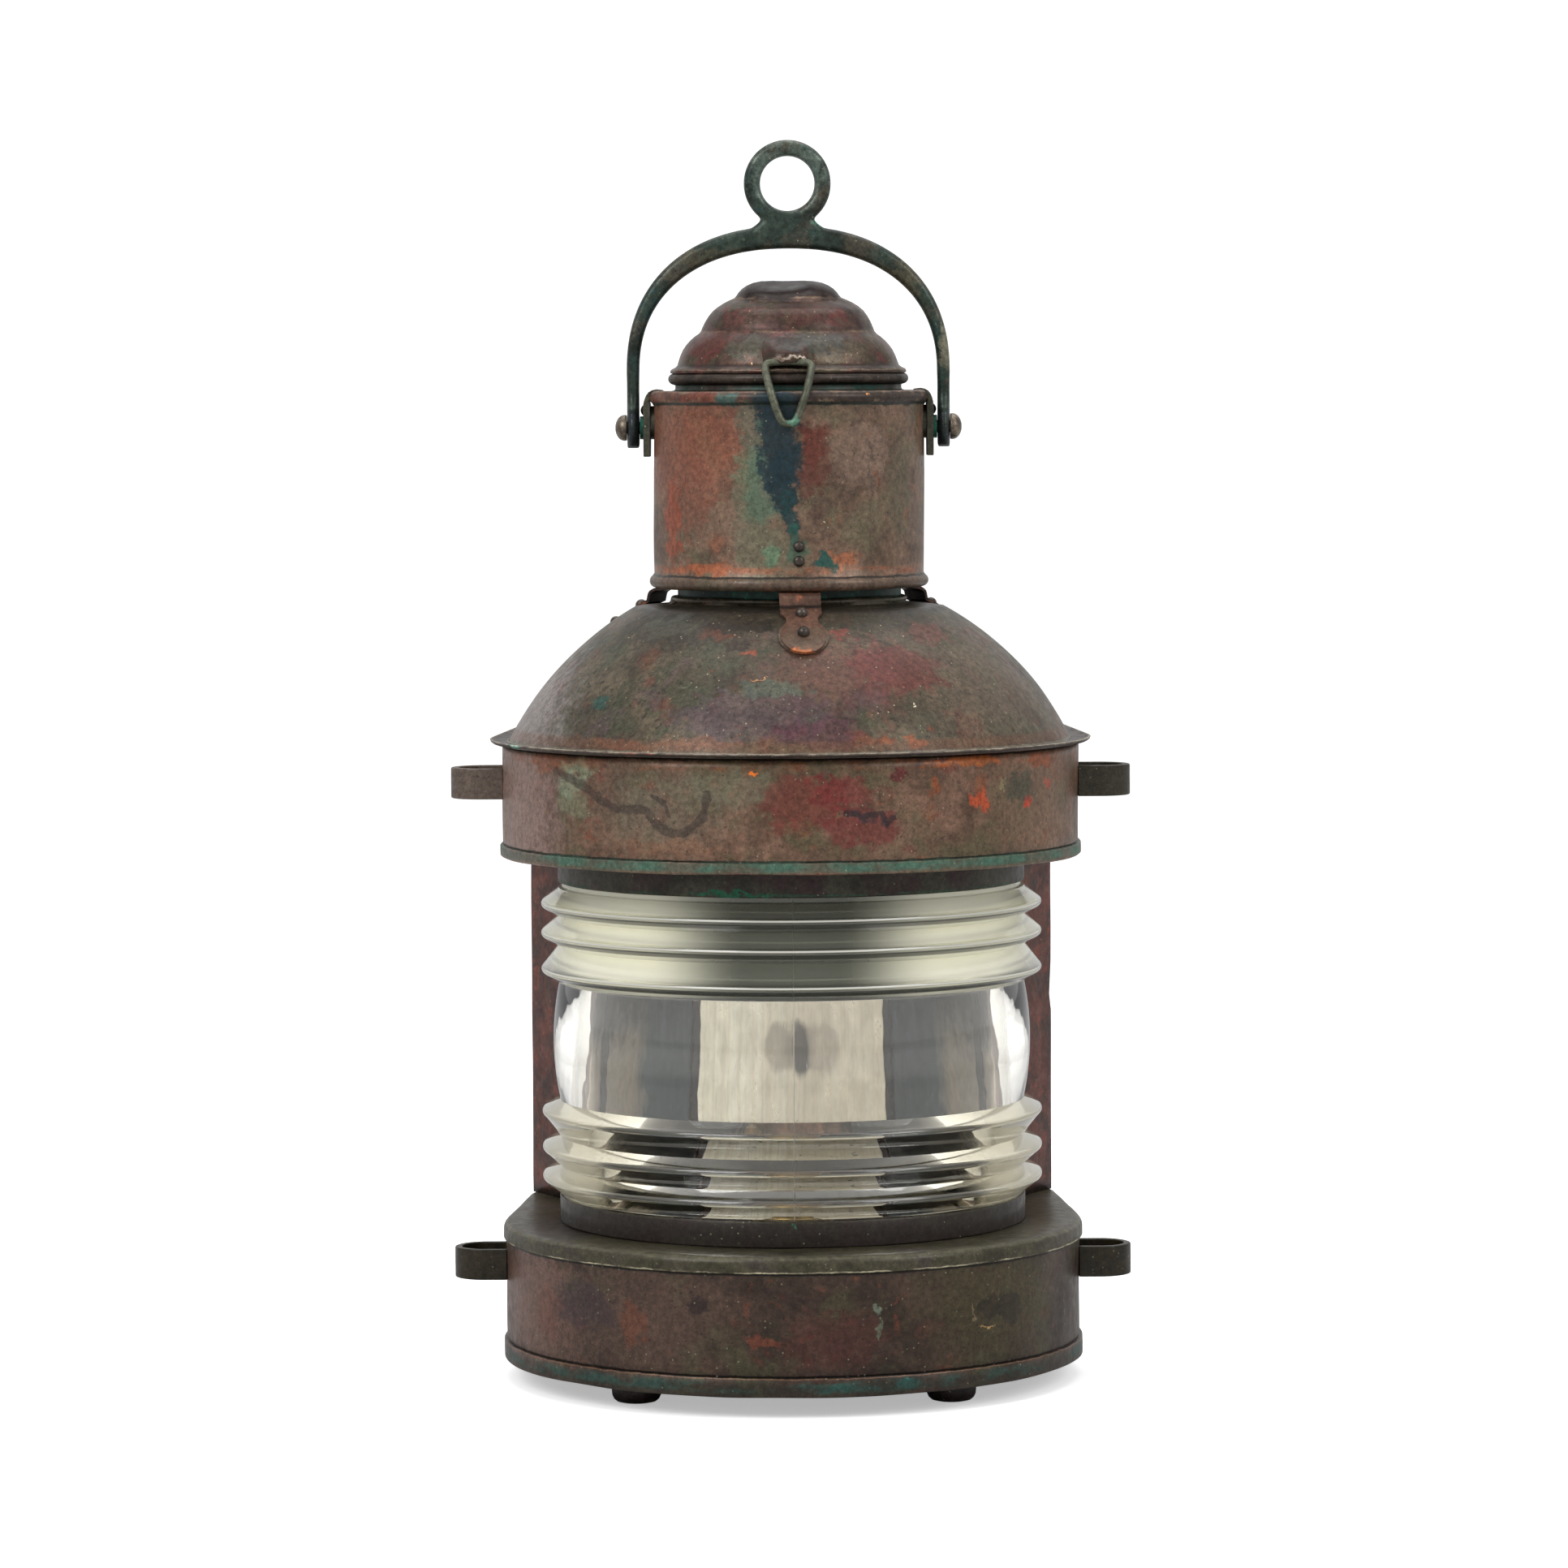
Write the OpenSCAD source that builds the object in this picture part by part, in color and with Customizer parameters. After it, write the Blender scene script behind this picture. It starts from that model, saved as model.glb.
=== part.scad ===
// Ship's masthead lantern: D-shaped copper body, ribbed glass lens, domed top,
// ventilated chimney with a hinged cap, carrying bail and an oil lamp inside.
// Z is up and the front is -Y. The origin is at the level of the feet, in the middle of
// the lantern's outline. The modules draw round the lens axis, and centred() moves them.

/* [Body] */
// Outer radius of the round front of the body
body_r = 142; // [135:1:150]
// How much nearer to the lens axis the flat back lies than the round front
back_set = 42; // [38:1:46]
// How much the sides come in towards the flat back, each
side_in = 9; // [7:0.5:13]
// Thickness of the copper sheet
sheet_t = 1.2; // [0.8:0.1:1.5]
// How far the pressed bands stand out of the walls
band_out = 1.4; // [1.2:0.1:1.8]
// Height of the pressed band round the foot of the base
base_band_h = 9.5; // [7:0.5:12]
// Height of the pressed band round the foot of the drum
drum_band_h = 5.7; // [4:0.1:8]

/* [Base] */
// Height of the base from its rim to its top
base_h = 67.5; // [62:0.5:75]
// Height of the skirt of the base cover
cover_skirt_h = 4.5; // [3:0.5:6]
// Radius of the rounded shoulder of the base cover
shoulder_r = 4; // [3:0.5:5]
// Height of the feet
foot_h = 10.5; // [8:0.5:14]
// Radius of a foot
foot_r = 12; // [9:0.5:14]
// Sideways distance of the feet from the axis
foot_x = 76; // [60:1:85]
// Distance of the front feet in front of the axis
foot_front_y = 86; // [70:1:90]
// Distance of the rear feet behind the axis
foot_back_y = 72; // [55:1:76]
// Radius of the air holes in the floor
air_hole_r = 5; // [3:0.5:7]
// Radius of the ring that the air holes lie on
air_ring_r = 62; // [58:1:64]

/* [Lens] */
// Height of the window between the base and the drum
window_h = 181; // [175:1:190]
// Arc that the lens covers
lens_arc = 225; // [215:1:225]
// Inner radius of the glass
lens_inner_r = 108; // [106:0.5:109]
// Radius of the grooves between the ribs
groove_r = 115; // [114:0.5:116]
// Radius of the tips of the ribs
rib_tip_r = 123.6; // [121:0.2:125]
// Greatest radius of the belly
belly_r = 118; // [117:0.5:119]
// Rounding of the rib tips
rib_round = 2.2; // [1.8:0.1:2.4]
// Height of each collar that holds the lens
collar_h = 13; // [11:0.5:14]
// Radius of the collars
collar_r = 115.2; // [115:0.2:116.6]

/* [Top] */
// Height of the drum over the lens
drum_h = 55; // [50:1:60]
// How far the crown plate stands out over the drum
crown_over = 6.4; // [5:0.2:8]
// How much larger than the body the sphere is that the dome is part of
dome_over = 13; // [9:1:18]
// How far the foot of the dome lies inside the walls
dome_inset = 3.4; // [3:0.2:8]
// Radius where the dome turns into its flat neck
dome_flat_r = 76; // [74:1:78]
// How far the flat neck stands up from the edge of the dome
neck_rise = 1.8; // [1.4:0.1:2.2]
// Radius of the bead at the neck of the dome
neck_bead_r = 57.2; // [56.8:0.2:60]
// Outer radius of the inner flue
flue_r = 55; // [50:0.5:55.5]
// How far the inner flue rises above the dome
flue_h = 72; // [50:1:90]
// Outer radius of the chimney
chimney_r = 66.4; // [65:0.2:67]
// Height of the chimney
chimney_h = 96.6; // [90:0.2:104]
// Gap between the neck of the dome and the chimney
draught_gap = 4.4; // [4:0.2:7]
// Radius of the rolled beads at the ends of the chimney
bead_r = 3.3; // [3:0.1:3.5]
// Radius of the neck under the cap
cap_neck_r = 55.6; // [54:0.2:57]
// Height of the seat of the cap above the chimney
seat_h = 8.6; // [8:0.2:10]
// Height of the cap above its seat
cap_h = 45.4; // [42:0.2:50]

/* [Straps] */
// Width of a chimney strap
strap_w = 20; // [16:1:22]
// Thickness of a chimney strap
strap_t = 1.4; // [1.2:0.1:1.8]
// Height of the lower rivet of a strap above the foot of the chimney
strap_rivet_up = 14.5; // [12:0.5:18]
// Distance of the inner rivet of a strap from the neck of the dome
strap_rivet_out = 4.5; // [4:0.5:6]
// Turn of the straps about the axis
strap_turn = 4; // [0:1:8]
// Radius of the round end of a strap
strap_end_r = 11.2; // [10.5:0.1:13]
// Radius of a rivet shank
rivet_r = 1.5; // [1.2:0.1:2]
// Radius of a rivet head
rivet_head_r = 2.7; // [2.4:0.1:3]

/* [Bail] */
// Height of the bail pivots below the chimney's top
pivot_drop = 18; // [16:0.5:20]
// Height of the bail from its pivots to the top of its arch
bail_rise = 98.5; // [97:0.5:110]
// Thickness of the arms, sideways
arm_t = 6.2; // [5:0.2:7]
// Thickness of the crown of the arch
crown_t = 11; // [9:0.5:12]
// Width of the bail, front to back
bail_w = 9; // [8:0.5:12]
// Radius of the eye at each end of the bail
eye_r = 10; // [8:0.5:11]
// Outer radius of the hanging ring
ring_r = 21.4; // [20:0.2:24]
// Radius of the hole in the hanging ring
ring_hole_r = 14; // [12:0.5:15]
// Radius of the pivot screws
pivot_r = 3; // [2.5:0.1:3.5]
// Radius of the screw heads
screw_head_r = 6.4; // [5.5:0.1:7]
// Thickness of the lugs
lug_t = 2.2; // [1.8:0.1:2.6]
// Half the width of a lug
lug_half_w = 9; // [7:0.5:10]
// Length of a lug below the chimney's top
lug_l = 31; // [29:1:34]

/* [Hasp] */
// Radius of the hasp wire
wire_r = 1.9; // [1.6:0.1:2]
// Half the width of the hasp at its hinge
hasp_half_w = 11.5; // [10:0.5:13]
// Radius of the bend at the bottom of the hasp
hasp_bend_r = 5; // [4:0.5:6]
// Length of the upright part of the hasp
hasp_l = 12; // [10:0.5:14]

/* [Guide eyes] */
// How far a guide eye stands out of the body
guide_out = 25.8; // [20:0.2:30]
// Outer radius of the round end of a guide eye
guide_r = 15.6; // [13:0.2:18]
// Thickness of the strip that a guide eye is bent from
guide_t = 3.6; // [3:0.2:4.4]
// Height of a guide eye
guide_h = 15.2; // [12:0.2:18]
// Height of the upper guide eyes above the foot of the drum
guide_up = 28; // [24:0.5:30]
// Height of the lower guide eyes above the rim of the base
guide_low = 38.5; // [30:0.5:42]

/* [Door] */
// Half the width of the back door
door_half_w = 64; // [62:0.5:66]
// Half the width of the opening behind the door
door_open_half_w = 52; // [50:0.5:54]
// Height of the sill under the door opening, above the rim of the base
sill_h = 15; // [13:0.5:18]
// Height of the band of casing above the door opening
lintel_h = 14; // [12:0.5:18]
// How far the door laps over its opening at the top and the bottom
door_lap = 4; // [3:0.5:5]
// Half the width of the reflector on the door
reflector_half_w = 48.4; // [46:0.2:49]
// Depth of the reflector on the door
reflector_d = 9; // [7:0.5:11]
// Radius of the door hinge knuckles
knuckle_r = 3; // [2.8:0.1:3.1]
// Radius of the hinge pins
hinge_pin_r = 1.5; // [1.2:0.1:1.7]
// Length of one hinge knuckle
knuckle_l = 12; // [10:0.5:14]
// Half the length of the turn button
button_half_l = 16; // [14:0.5:18]
// Width of the turn button
button_w = 9; // [8:0.5:10]

/* [Oil lamp] */
// Radius of the oil font
font_r = 44; // [38:0.5:45]
// Height of the oil font
font_h = 40; // [34:0.5:41]
// Height of the burner's top above the base cover
burner_up = 50; // [40:1:70]
// Width of the wick
wick_w = 20; // [16:0.5:22]
// Thickness of the wick
wick_t = 2.4; // [2:0.1:3]
// Radius of the wick knob
wick_knob_r = 7; // [5:0.5:7.5]

/* [Hidden] */
$fn = 96;

// Clearances: touch is between faces that lie on each other, seat is round a piece that
// stands in another, run is between moving pieces, and pin_run is round a pin that turns
touch = 0.05;
seat = 0.15;
run = 0.3;
pin_run = 0.08;
pin_fit = 0.02;

// Plan of the body and sphere of the dome
back_y = body_r - back_set;
back_half_w = body_r - side_in;
dome_r = body_r + dome_over;

// Levels
floor_inset = 1;
lens_drop = 1;
z_rim = foot_h;
z_floor = z_rim + floor_inset;
z_base = z_rim + base_h;
z_drum = z_base + window_h;
z_crown = z_drum + drum_h;
z_dome = z_crown + sheet_t;
z_lens = (z_base + z_drum) / 2 - lens_drop;
dome_foot_r = body_r - dome_inset;
dome_zc = z_dome - sqrt(dome_r * dome_r - dome_foot_r * dome_foot_r);
z_neck = dome_zc + sqrt(dome_r * dome_r - dome_flat_r * dome_flat_r) + neck_rise;
neck_h = 3.2;
z_chimney = z_neck + neck_h + draught_gap;
z_top = z_chimney + chimney_h;
z_seat = z_top + seat_h;
z_pivot = z_top - pivot_drop;

// Taper of the straight sides of the body
side_a = atan2(back_y, back_half_w) - acos(body_r / norm([back_half_w, back_y]));

// Lens ribs: height of the upper groove, the tip and the lower groove over the middle
ribs = [[47.1, 35.3, 29.1], [61.8, 53, 47.1], [75.6, 67.5, 61.8]];
lens_end_a = (lens_arc - 180) / 2;
lens_edge_gap = 8;
lens_half_h = window_h / 2 - lens_edge_gap;
lens_edge_r = collar_r - sheet_t - seat - 0.5;
lens_seat_r = lens_inner_r + 2;

// Posts at the ends of the lens, measured out from the axis and round the ring
post_in_r = lens_inner_r - 2;
post_out_r = collar_r + 2.6;
post_w = 6;

// Chimney fittings
bead_out = 2.4;
bead_c = chimney_r + bead_out - bead_r;
chimney_in_r = chimney_r - sheet_t;
strap_rivets_z = [strap_rivet_up + 7, strap_rivet_up];
strap_rivets_r = [dome_flat_r + strap_rivet_out, dome_flat_r + strap_rivet_out + 14];
strap_c_r = chimney_r + bead_out + 3;
strap_angles = [for (i = [0 : 2]) -90 + strap_turn + 120 * i];
top_bead_r = 2.8;
top_bead_c = cap_neck_r + 0.4;

// Bail
lug_in_x = chimney_r + bead_out + 4 * touch;
lug_out_x = lug_in_x + lug_t;
washer_t = 1.8;
washer_r = 5.7;
arm_in_x = lug_out_x + washer_t + 4 * touch;
arm_out_x = arm_in_x + arm_t;
lug_rivet_drop = 9.4;
arm_straight = 27;
ring_up = bail_rise + ring_r - 0.6;

// Cap and hasp
cap_flange_r = cap_neck_r + 2.2;
cap_t = 1.2;

// Tiers of the cap from the top: inner and outer radius, foot and shoulder over the seat
cap_tiers = [[12.4, 25.8, cap_h - 9, cap_h], [28.4, 42.8, cap_h - 24.8, cap_h - 9.4],
    [cap_neck_r - 11, cap_neck_r - 0.8, 3.4, cap_h - 25.8]];
cap_hinge_y = cap_neck_r + 8.6;
cap_hinge_z = z_seat + 2;
cap_knuckle_r = 2.6;
cap_pin_r = 1.2;
cap_knuckle_l = 7;
hasp_y = cap_flange_r - 0.6;
hasp_z = z_seat + 5.4;
hasp_out_y = chimney_r + bead_out + wire_r + 0.5;

// Door
z_sill = z_rim + sill_h;
z_lintel = z_drum - lintel_h;
z_door0 = z_sill - door_lap;
z_door1 = z_lintel + door_lap;
door_y = back_y + 0.2;
hinge_x = -(door_half_w + knuckle_r + 0.5);
hinge_y = back_y + knuckle_r + 0.4;
hinge_zs = [z_rim + 34, z_drum - 42];
catch_x = door_half_w + 11;
catch_z = z_base + 62;
button_t = 2;
stud_r = 2.5;

// Oil lamp
z_font = z_floor + sheet_t + seat;
z_font_top = z_font + font_h;
z_shaft = z_font_top + 11;
z_burner = z_base + burner_up;
z_wick = z_font + 10;
shaft_r = 1.4;
winder_wheel_r = 2.8;
shaft_y = wick_t / 2 + winder_wheel_r + 0.15;
tube_wall = 0.8;
font_wall = 1.2;
rail_t = 1.6;
neck_in_r = 13;
neck_up = 3;
z_burner_foot = z_font_top + neck_up + touch;
burner_foot_r = 17;
gallery_r = 20;
gallery_z = [14, 18, 24, 28];
cone_r = 15;
tube_foot_h = 20;
filler_x = -24;
filler_y = -20;
filler_r = 8;

// How far the lens axis lies behind the middle of the outline
axis_y = (body_r + crown_over - hinge_y - knuckle_r) / 2;

// Half the width of the back corner of the plan, for walls moved out by off
function corner_x(off) = (body_r + off - (back_y + off) * sin(side_a)) / cos(side_a);

// Outline of a bent strip of thickness t that follows a line of points
function dir(a, b) = (b - a) / norm(b - a);
function perp(v) = [-v[1], v[0]];
function bend_normal(p, i) =
    i == 0 ? perp(dir(p[0], p[1])) :
    i == len(p) - 1 ? perp(dir(p[i - 1], p[i])) :
    let (m = perp(dir(p[i - 1], p[i])), n = perp(dir(p[i], p[i + 1]))) (m + n) / (1 + m * n);
function strip(p, t) = concat(
    [for (i = [0 : len(p) - 1]) p[i] + bend_normal(p, i) * t / 2],
    [for (i = [len(p) - 1 : -1 : 0]) p[i] - bend_normal(p, i) * t / 2]);

// Points of a rounded rib tip, from the flank near the middle to the far one
function rib_tip(s, z) = [for (a = [-45, -15, 20, 50])
    [rib_tip_r - rib_round + rib_round * cos(a), s * (z + rib_round * sin(a))]];

// Quarter ellipse of one tier of the cap, from its foot to its shoulder
function tier(t, off) = [for (a = [0 : 15 : 90])
    [t[0] - off + (t[1] - t[0]) * cos(a), t[2] - off + (t[3] - t[2]) * sin(a)]];

module centred() {
    translate([0, axis_y, 0]) children();
}

// Plan of the body: round front, slightly tapering sides and a flat back
module body_plan(off = 0) {
    r = body_r + off;
    difference() {
        circle(r = r);
        translate([-2 * r, r * sin(side_a)]) square([4 * r, 2 * r]);
    }
    polygon([[r * cos(side_a), r * sin(side_a)], [corner_x(off), back_y + off],
        [-corner_x(off), back_y + off], [-r * cos(side_a), r * sin(side_a)]]);
}

module body_wall(z, h, out, inn) {
    translate([0, 0, z]) linear_extrude(h) difference() {
        body_plan(out);
        body_plan(inn);
    }
}

// Ring segment that leaves the part behind the lens open
module front_arc(span) {
    rotate([0, 0, -90 - span / 2]) rotate_extrude(angle = span) children();
}

module rod(p, q, r) {
    d = q - p;
    l = norm(d);
    translate(p) rotate([0, acos(d[2] / l), atan2(d[1], d[0])]) cylinder(r = r, h = l);
}

// Domed rivet whose head rests at z = 0 and whose shank goes down
module rivet(shank_l, head_r = rivet_head_r, shank_r = rivet_r) {
    translate([0, 0, -shank_l]) cylinder(r = shank_r, h = shank_l);
    intersection() {
        translate([0, 0, -head_r * 0.6]) sphere(r = head_r * 1.166);
        cylinder(r = head_r, h = head_r);
    }
}

module base_pan() {
    color("sienna") {
        difference() {
            union() {
                body_wall(z_rim, base_h - shoulder_r - seat, 0, -sheet_t);
                body_wall(z_rim, base_band_h, band_out, -sheet_t);
                translate([0, 0, z_floor]) linear_extrude(sheet_t) body_plan(-sheet_t / 2);
            }
            translate([-door_open_half_w, back_y - 5, z_sill])
                cube([2 * door_open_half_w, 10, base_h]);
            for (a = [22.5 : 45 : 359]) {
                rotate([0, 0, a]) translate([air_ring_r, 0, z_floor - 1])
                    cylinder(r = air_hole_r, h = sheet_t + 2);
            }
        }
    }
}

module base_cover() {
    z_skirt = z_base - shoulder_r - cover_skirt_h;
    well_r = font_r + 16;
    well_half_w = font_r + 6;
    door_notch = door_half_w + 3;
    steps = 4;
    color("sienna") difference() {
        union() {
            translate([0, 0, z_skirt]) linear_extrude(cover_skirt_h) body_plan(band_out);
            for (i = [0 : steps - 1]) {
                translate([0, 0, z_base - shoulder_r + i * shoulder_r / steps])
                    linear_extrude(shoulder_r / steps)
                    body_plan(band_out - shoulder_r * (1 - cos(90 * (i + 0.5) / steps)));
            }
        }
        translate([0, 0, z_skirt - 1]) linear_extrude(cover_skirt_h + 1) body_plan(seat);
        translate([0, 0, z_skirt]) linear_extrude(cover_skirt_h + shoulder_r - sheet_t)
            body_plan(-shoulder_r);
        translate([0, 0, z_skirt]) cylinder(r = well_r, h = base_h);
        translate([-well_half_w, 0, z_skirt - 1]) cube([2 * well_half_w, 2 * back_y, base_h]);
        translate([-door_notch, back_y + 2 * touch, z_skirt - 1])
            cube([2 * door_notch, 10, base_h]);
        translate([-(door_half_w + 30), back_y + 2 * touch, z_skirt - 1])
            cube([40, 10, base_h]);
    }
}

module feet() {
    color("saddlebrown")
        for (x = [-foot_x, foot_x], y = [-foot_front_y, foot_back_y]) {
            translate([x, y, 0]) rotate_extrude() polygon([[0, 0], [foot_r - 3, 0],
                [foot_r - 1, 1.4], [foot_r, 4], [foot_r, foot_h - 2],
                [foot_r - 2, z_floor], [0, z_floor]]);
        }
}

module collar(low) {
    z = low ? z_base : z_drum - collar_h;
    lip_z = low ? z : z_drum + 1 - sheet_t;
    color("peru") front_arc(lens_arc + 0.6) {
        translate([collar_r - sheet_t, z]) square([sheet_t, collar_h + (low ? 0 : 1)]);
        translate([lens_seat_r, lip_z]) square([collar_r - lens_seat_r, sheet_t]);
    }
}

// Outer face of the lens from the middle of the belly over the ribs to one edge
function half_lens(s) = concat(
    [for (i = [0 : 4]) let (u = i / 4)
        [belly_r - (belly_r - groove_r) * u * u, s * ribs[0][2] * u]],
    [for (rib = ribs) each concat(rib_tip(s, rib[1]), [[groove_r, s * rib[0]]])],
    [[lens_edge_r, s * (ribs[2][0] + 0.6)], [lens_edge_r, s * lens_half_h]]);

module lens() {
    upper = half_lens(1);
    lower = half_lens(-1);
    color("lightcyan") front_arc(lens_arc) translate([0, z_lens]) polygon(concat(
        [[lens_inner_r, -lens_half_h], [lens_inner_r, lens_half_h]],
        [for (i = [len(upper) - 1 : -1 : 0]) upper[i]],
        [for (i = [1 : len(lower) - 1]) lower[i]]));
}

module post() {
    color("peru") rotate([0, 0, lens_end_a])
        translate([post_in_r, 0.6 + 0.2, z_base]) cube([post_out_r - post_in_r, post_w, window_h]);
}

// Folded copper sheet: two wings and the back, open where the door is
module back_casing() {
    a = lens_end_a;
    wing = [post_out_r * cos(a) - (post_w + 1.6) * sin(a) + 1,
        post_out_r * sin(a) + (post_w + 1.6) * cos(a)];
    corner = [corner_x(-sheet_t / 2), back_y - sheet_t / 2];
    color("brown") difference() {
        translate([0, 0, z_base]) linear_extrude(window_h) polygon(strip([wing, corner,
            [-corner[0], corner[1]], [-wing[0], wing[1]]], sheet_t));
        translate([-door_open_half_w, back_y - 5, z_base - 1])
            cube([2 * door_open_half_w, 10, z_lintel - z_base + 1]);
    }
}

// Bright screen between a post and the side of the door opening
module screen() {
    a = lens_end_a;
    jamb_x = door_open_half_w + sheet_t / 2;
    color("silver") translate([0, 0, z_base + seat]) linear_extrude(window_h - 2 * seat)
        polygon(strip([
            [(post_out_r - 4) * cos(a) - (post_w + 1.8) * sin(a),
                (post_out_r - 4) * sin(a) + (post_w + 1.8) * cos(a)],
            [jamb_x, back_y - reflector_d - 1],
            [jamb_x, back_y - sheet_t - seat]], sheet_t));
}

module drum() {
    color("chocolate") {
        body_wall(z_drum, drum_h, 0, -sheet_t);
        body_wall(z_drum, drum_band_h, band_out, -sheet_t);
    }
}

module drum_soffit() {
    color("saddlebrown") translate([0, 0, z_drum]) linear_extrude(sheet_t) difference() {
        body_plan(-sheet_t - seat);
        circle(r = collar_r + seat);
    }
}

module crown_plate() {
    color("chocolate") translate([0, 0, z_crown]) linear_extrude(sheet_t) difference() {
        body_plan(crown_over);
        difference() {
            circle(r = dome_foot_r - sheet_t - 1);
            translate([-dome_r, back_y - 8]) square([2 * dome_r, dome_r]);
        }
    }
}

module strap_rivet_axes() {
    for (s = strap_angles) {
        rotate([0, 0, s]) {
            for (r = strap_rivets_r) {
                a = asin(r / dome_r);
                translate([0, 0, dome_zc]) rotate([0, a, 0])
                    translate([0, 0, dome_r + strap_t + seat]) children();
            }
            for (z = strap_rivets_z) {
                translate([chimney_r, 0, z_chimney + z]) rotate([0, 90, 0]) children();
            }
        }
    }
}

module rivet_holes() {
    strap_rivet_axes() translate([0, 0, -6]) cylinder(r = rivet_r + touch, h = 8);
}

// Spherical shell that runs into a nearly flat neck with a rolled bead
module dome_shell() {
    rotate_extrude() intersection() {
        difference() {
            translate([0, dome_zc]) circle(r = dome_r, $fn = 180);
            translate([0, dome_zc]) circle(r = dome_r - sheet_t, $fn = 180);
        }
        translate([dome_flat_r, z_dome]) square([dome_r, dome_r]);
    }
    rotate_extrude() polygon(strip([[dome_flat_r + 0.4, z_neck - 2.5],
        [neck_bead_r - 0.6, z_neck - sheet_t / 2],
        [neck_bead_r - 0.6, z_neck + neck_h - 1.4]], sheet_t));
    translate([0, 0, z_neck + neck_h - 1.4]) rotate_extrude()
        translate([neck_bead_r - 0.5, 0]) circle(r = 1.4);
}

module dome() {
    color("saddlebrown") difference() {
        intersection() {
            dome_shell();
            translate([-dome_r, -dome_r, z_dome]) cube([2 * dome_r, dome_r + back_y, dome_r]);
        }
        translate([0, 0, z_neck - 10]) cylinder(r = flue_r + seat, h = 30);
        rivet_holes();
    }
}

module dome_back() {
    color("saddlebrown") intersection() {
        translate([0, 0, dome_zc]) sphere(r = dome_r - sheet_t - touch, $fn = 180);
        translate([-dome_r, back_y - sheet_t, z_dome]) cube([2 * dome_r, sheet_t, dome_r]);
    }
}

// Inner tube, seated in the neck of the dome
module flue() {
    color("darkslategray") translate([0, 0, z_neck - 8]) difference() {
        cylinder(r = flue_r, h = 8 + neck_h + flue_h);
        translate([0, 0, -1]) cylinder(r = flue_r - sheet_t, h = flue_h + 20);
    }
}

// Outer tube of the chimney with a rolled bead at each end
module chimney() {
    color("peru") difference() {
        union() {
            translate([0, 0, z_chimney]) cylinder(r = chimney_r, h = chimney_h - sheet_t);
            for (z = [z_chimney + bead_r, z_top - bead_r]) {
                translate([0, 0, z]) rotate_extrude() translate([bead_c, 0]) circle(r = bead_r);
            }
        }
        translate([0, 0, z_chimney - 1]) cylinder(r = chimney_in_r, h = chimney_h + 2);
        translate([0, 0, z_top - sheet_t]) cylinder(r = chimney_r + 1, h = sheet_t + 1);
        rivet_holes();
        lug_rivet_axes() translate([0, 0, -12]) cylinder(r = rivet_r + touch, h = 20);
    }
}

// Spun ring that closes the chimney and carries the neck and the seat of the cap
module chimney_top() {
    color("darkslategray") rotate_extrude() {
        translate([cap_neck_r - sheet_t, z_top - sheet_t])
            square([chimney_r + 0.8 - cap_neck_r + sheet_t, sheet_t]);
        translate([cap_neck_r - sheet_t, z_top - sheet_t])
            square([sheet_t, z_seat - z_top + sheet_t - 1]);
        translate([top_bead_c, z_seat - top_bead_r]) circle(r = top_bead_r);
    }
}

// Strap from the inside of the chimney, out under its bead and down over the dome
module strap(angle) {
    in_r = sqrt(chimney_in_r * chimney_in_r - strap_w * strap_w / 4) - strap_t / 2 - 0.1;
    mid = dome_r + 0.1 + strap_t / 2;
    last_r = strap_rivets_r[1] + strap_end_r;
    first_a = asin((dome_flat_r + 0.8) / mid);
    last_a = asin(last_r / mid);
    z_under = z_chimney - strap_t / 2 - 0.3;
    line = concat(
        [[in_r, z_chimney + strap_rivets_z[0] + 4], [in_r, z_under], [strap_c_r - 3, z_under],
            [strap_c_r - 0.8, z_under - 1.4], [strap_c_r, z_under - 3.4],
            [strap_c_r + 0.5, z_neck]],
        [for (i = [0 : 6]) let (a = first_a + (last_a - first_a) * i / 6)
            [mid * sin(a), dome_zc + mid * cos(a)]]);
    color("sienna") difference() {
        intersection() {
            rotate([0, 0, angle]) translate([0, strap_end_r + 1, 0]) rotate([90, 0, 0])
                linear_extrude(2 * strap_end_r + 2) polygon(strip(line, strap_t));
            rotate([0, 0, angle]) translate([0, 0, z_dome]) linear_extrude(3 * chimney_h) {
                translate([chimney_in_r - 5, -strap_w / 2])
                    square([strap_rivets_r[0] + 5 - chimney_in_r, strap_w]);
                translate([strap_rivets_r[0] - 1, -strap_w * 0.42])
                    square([strap_end_r, strap_w * 0.84]);
                translate([strap_rivets_r[1], 0]) circle(r = strap_end_r);
            }
        }
        rivet_holes();
    }
}

module strap_rivets() {
    color("dimgray") strap_rivet_axes() rivet(4.2);
}

module lug_rivet_axes() {
    for (s = [0, 180]) {
        rotate([0, 0, s]) translate([lug_out_x, 0, z_top - lug_rivet_drop])
            rotate([0, 90, 0]) children();
    }
}

// Lug hooked over the top rim of the chimney
module lug(side) {
    mid_x = (lug_in_x + lug_out_x) / 2;
    tab_z = z_top + lug_t / 2 + 0.1;
    color("darkolivegreen") difference() {
        rotate([0, 0, side > 0 ? 0 : 180]) translate([0, lug_half_w, 0]) rotate([90, 0, 0])
            linear_extrude(2 * lug_half_w) polygon(strip([[cap_neck_r + 4.6, tab_z],
                [mid_x - 1.8, tab_z], [mid_x, tab_z - 1.8], [mid_x, z_top - lug_l]], lug_t));
        lug_rivet_axes() translate([0, 0, -10]) cylinder(r = rivet_r + touch, h = 20);
        translate([0, 0, z_pivot]) rotate([0, 90, 0])
            cylinder(r = pivot_r + pin_fit, h = 3 * body_r, center = true);
    }
}

module lug_rivets() {
    color("darkolivegreen") lug_rivet_axes() rivet(lug_out_x - chimney_in_r);
}

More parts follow.
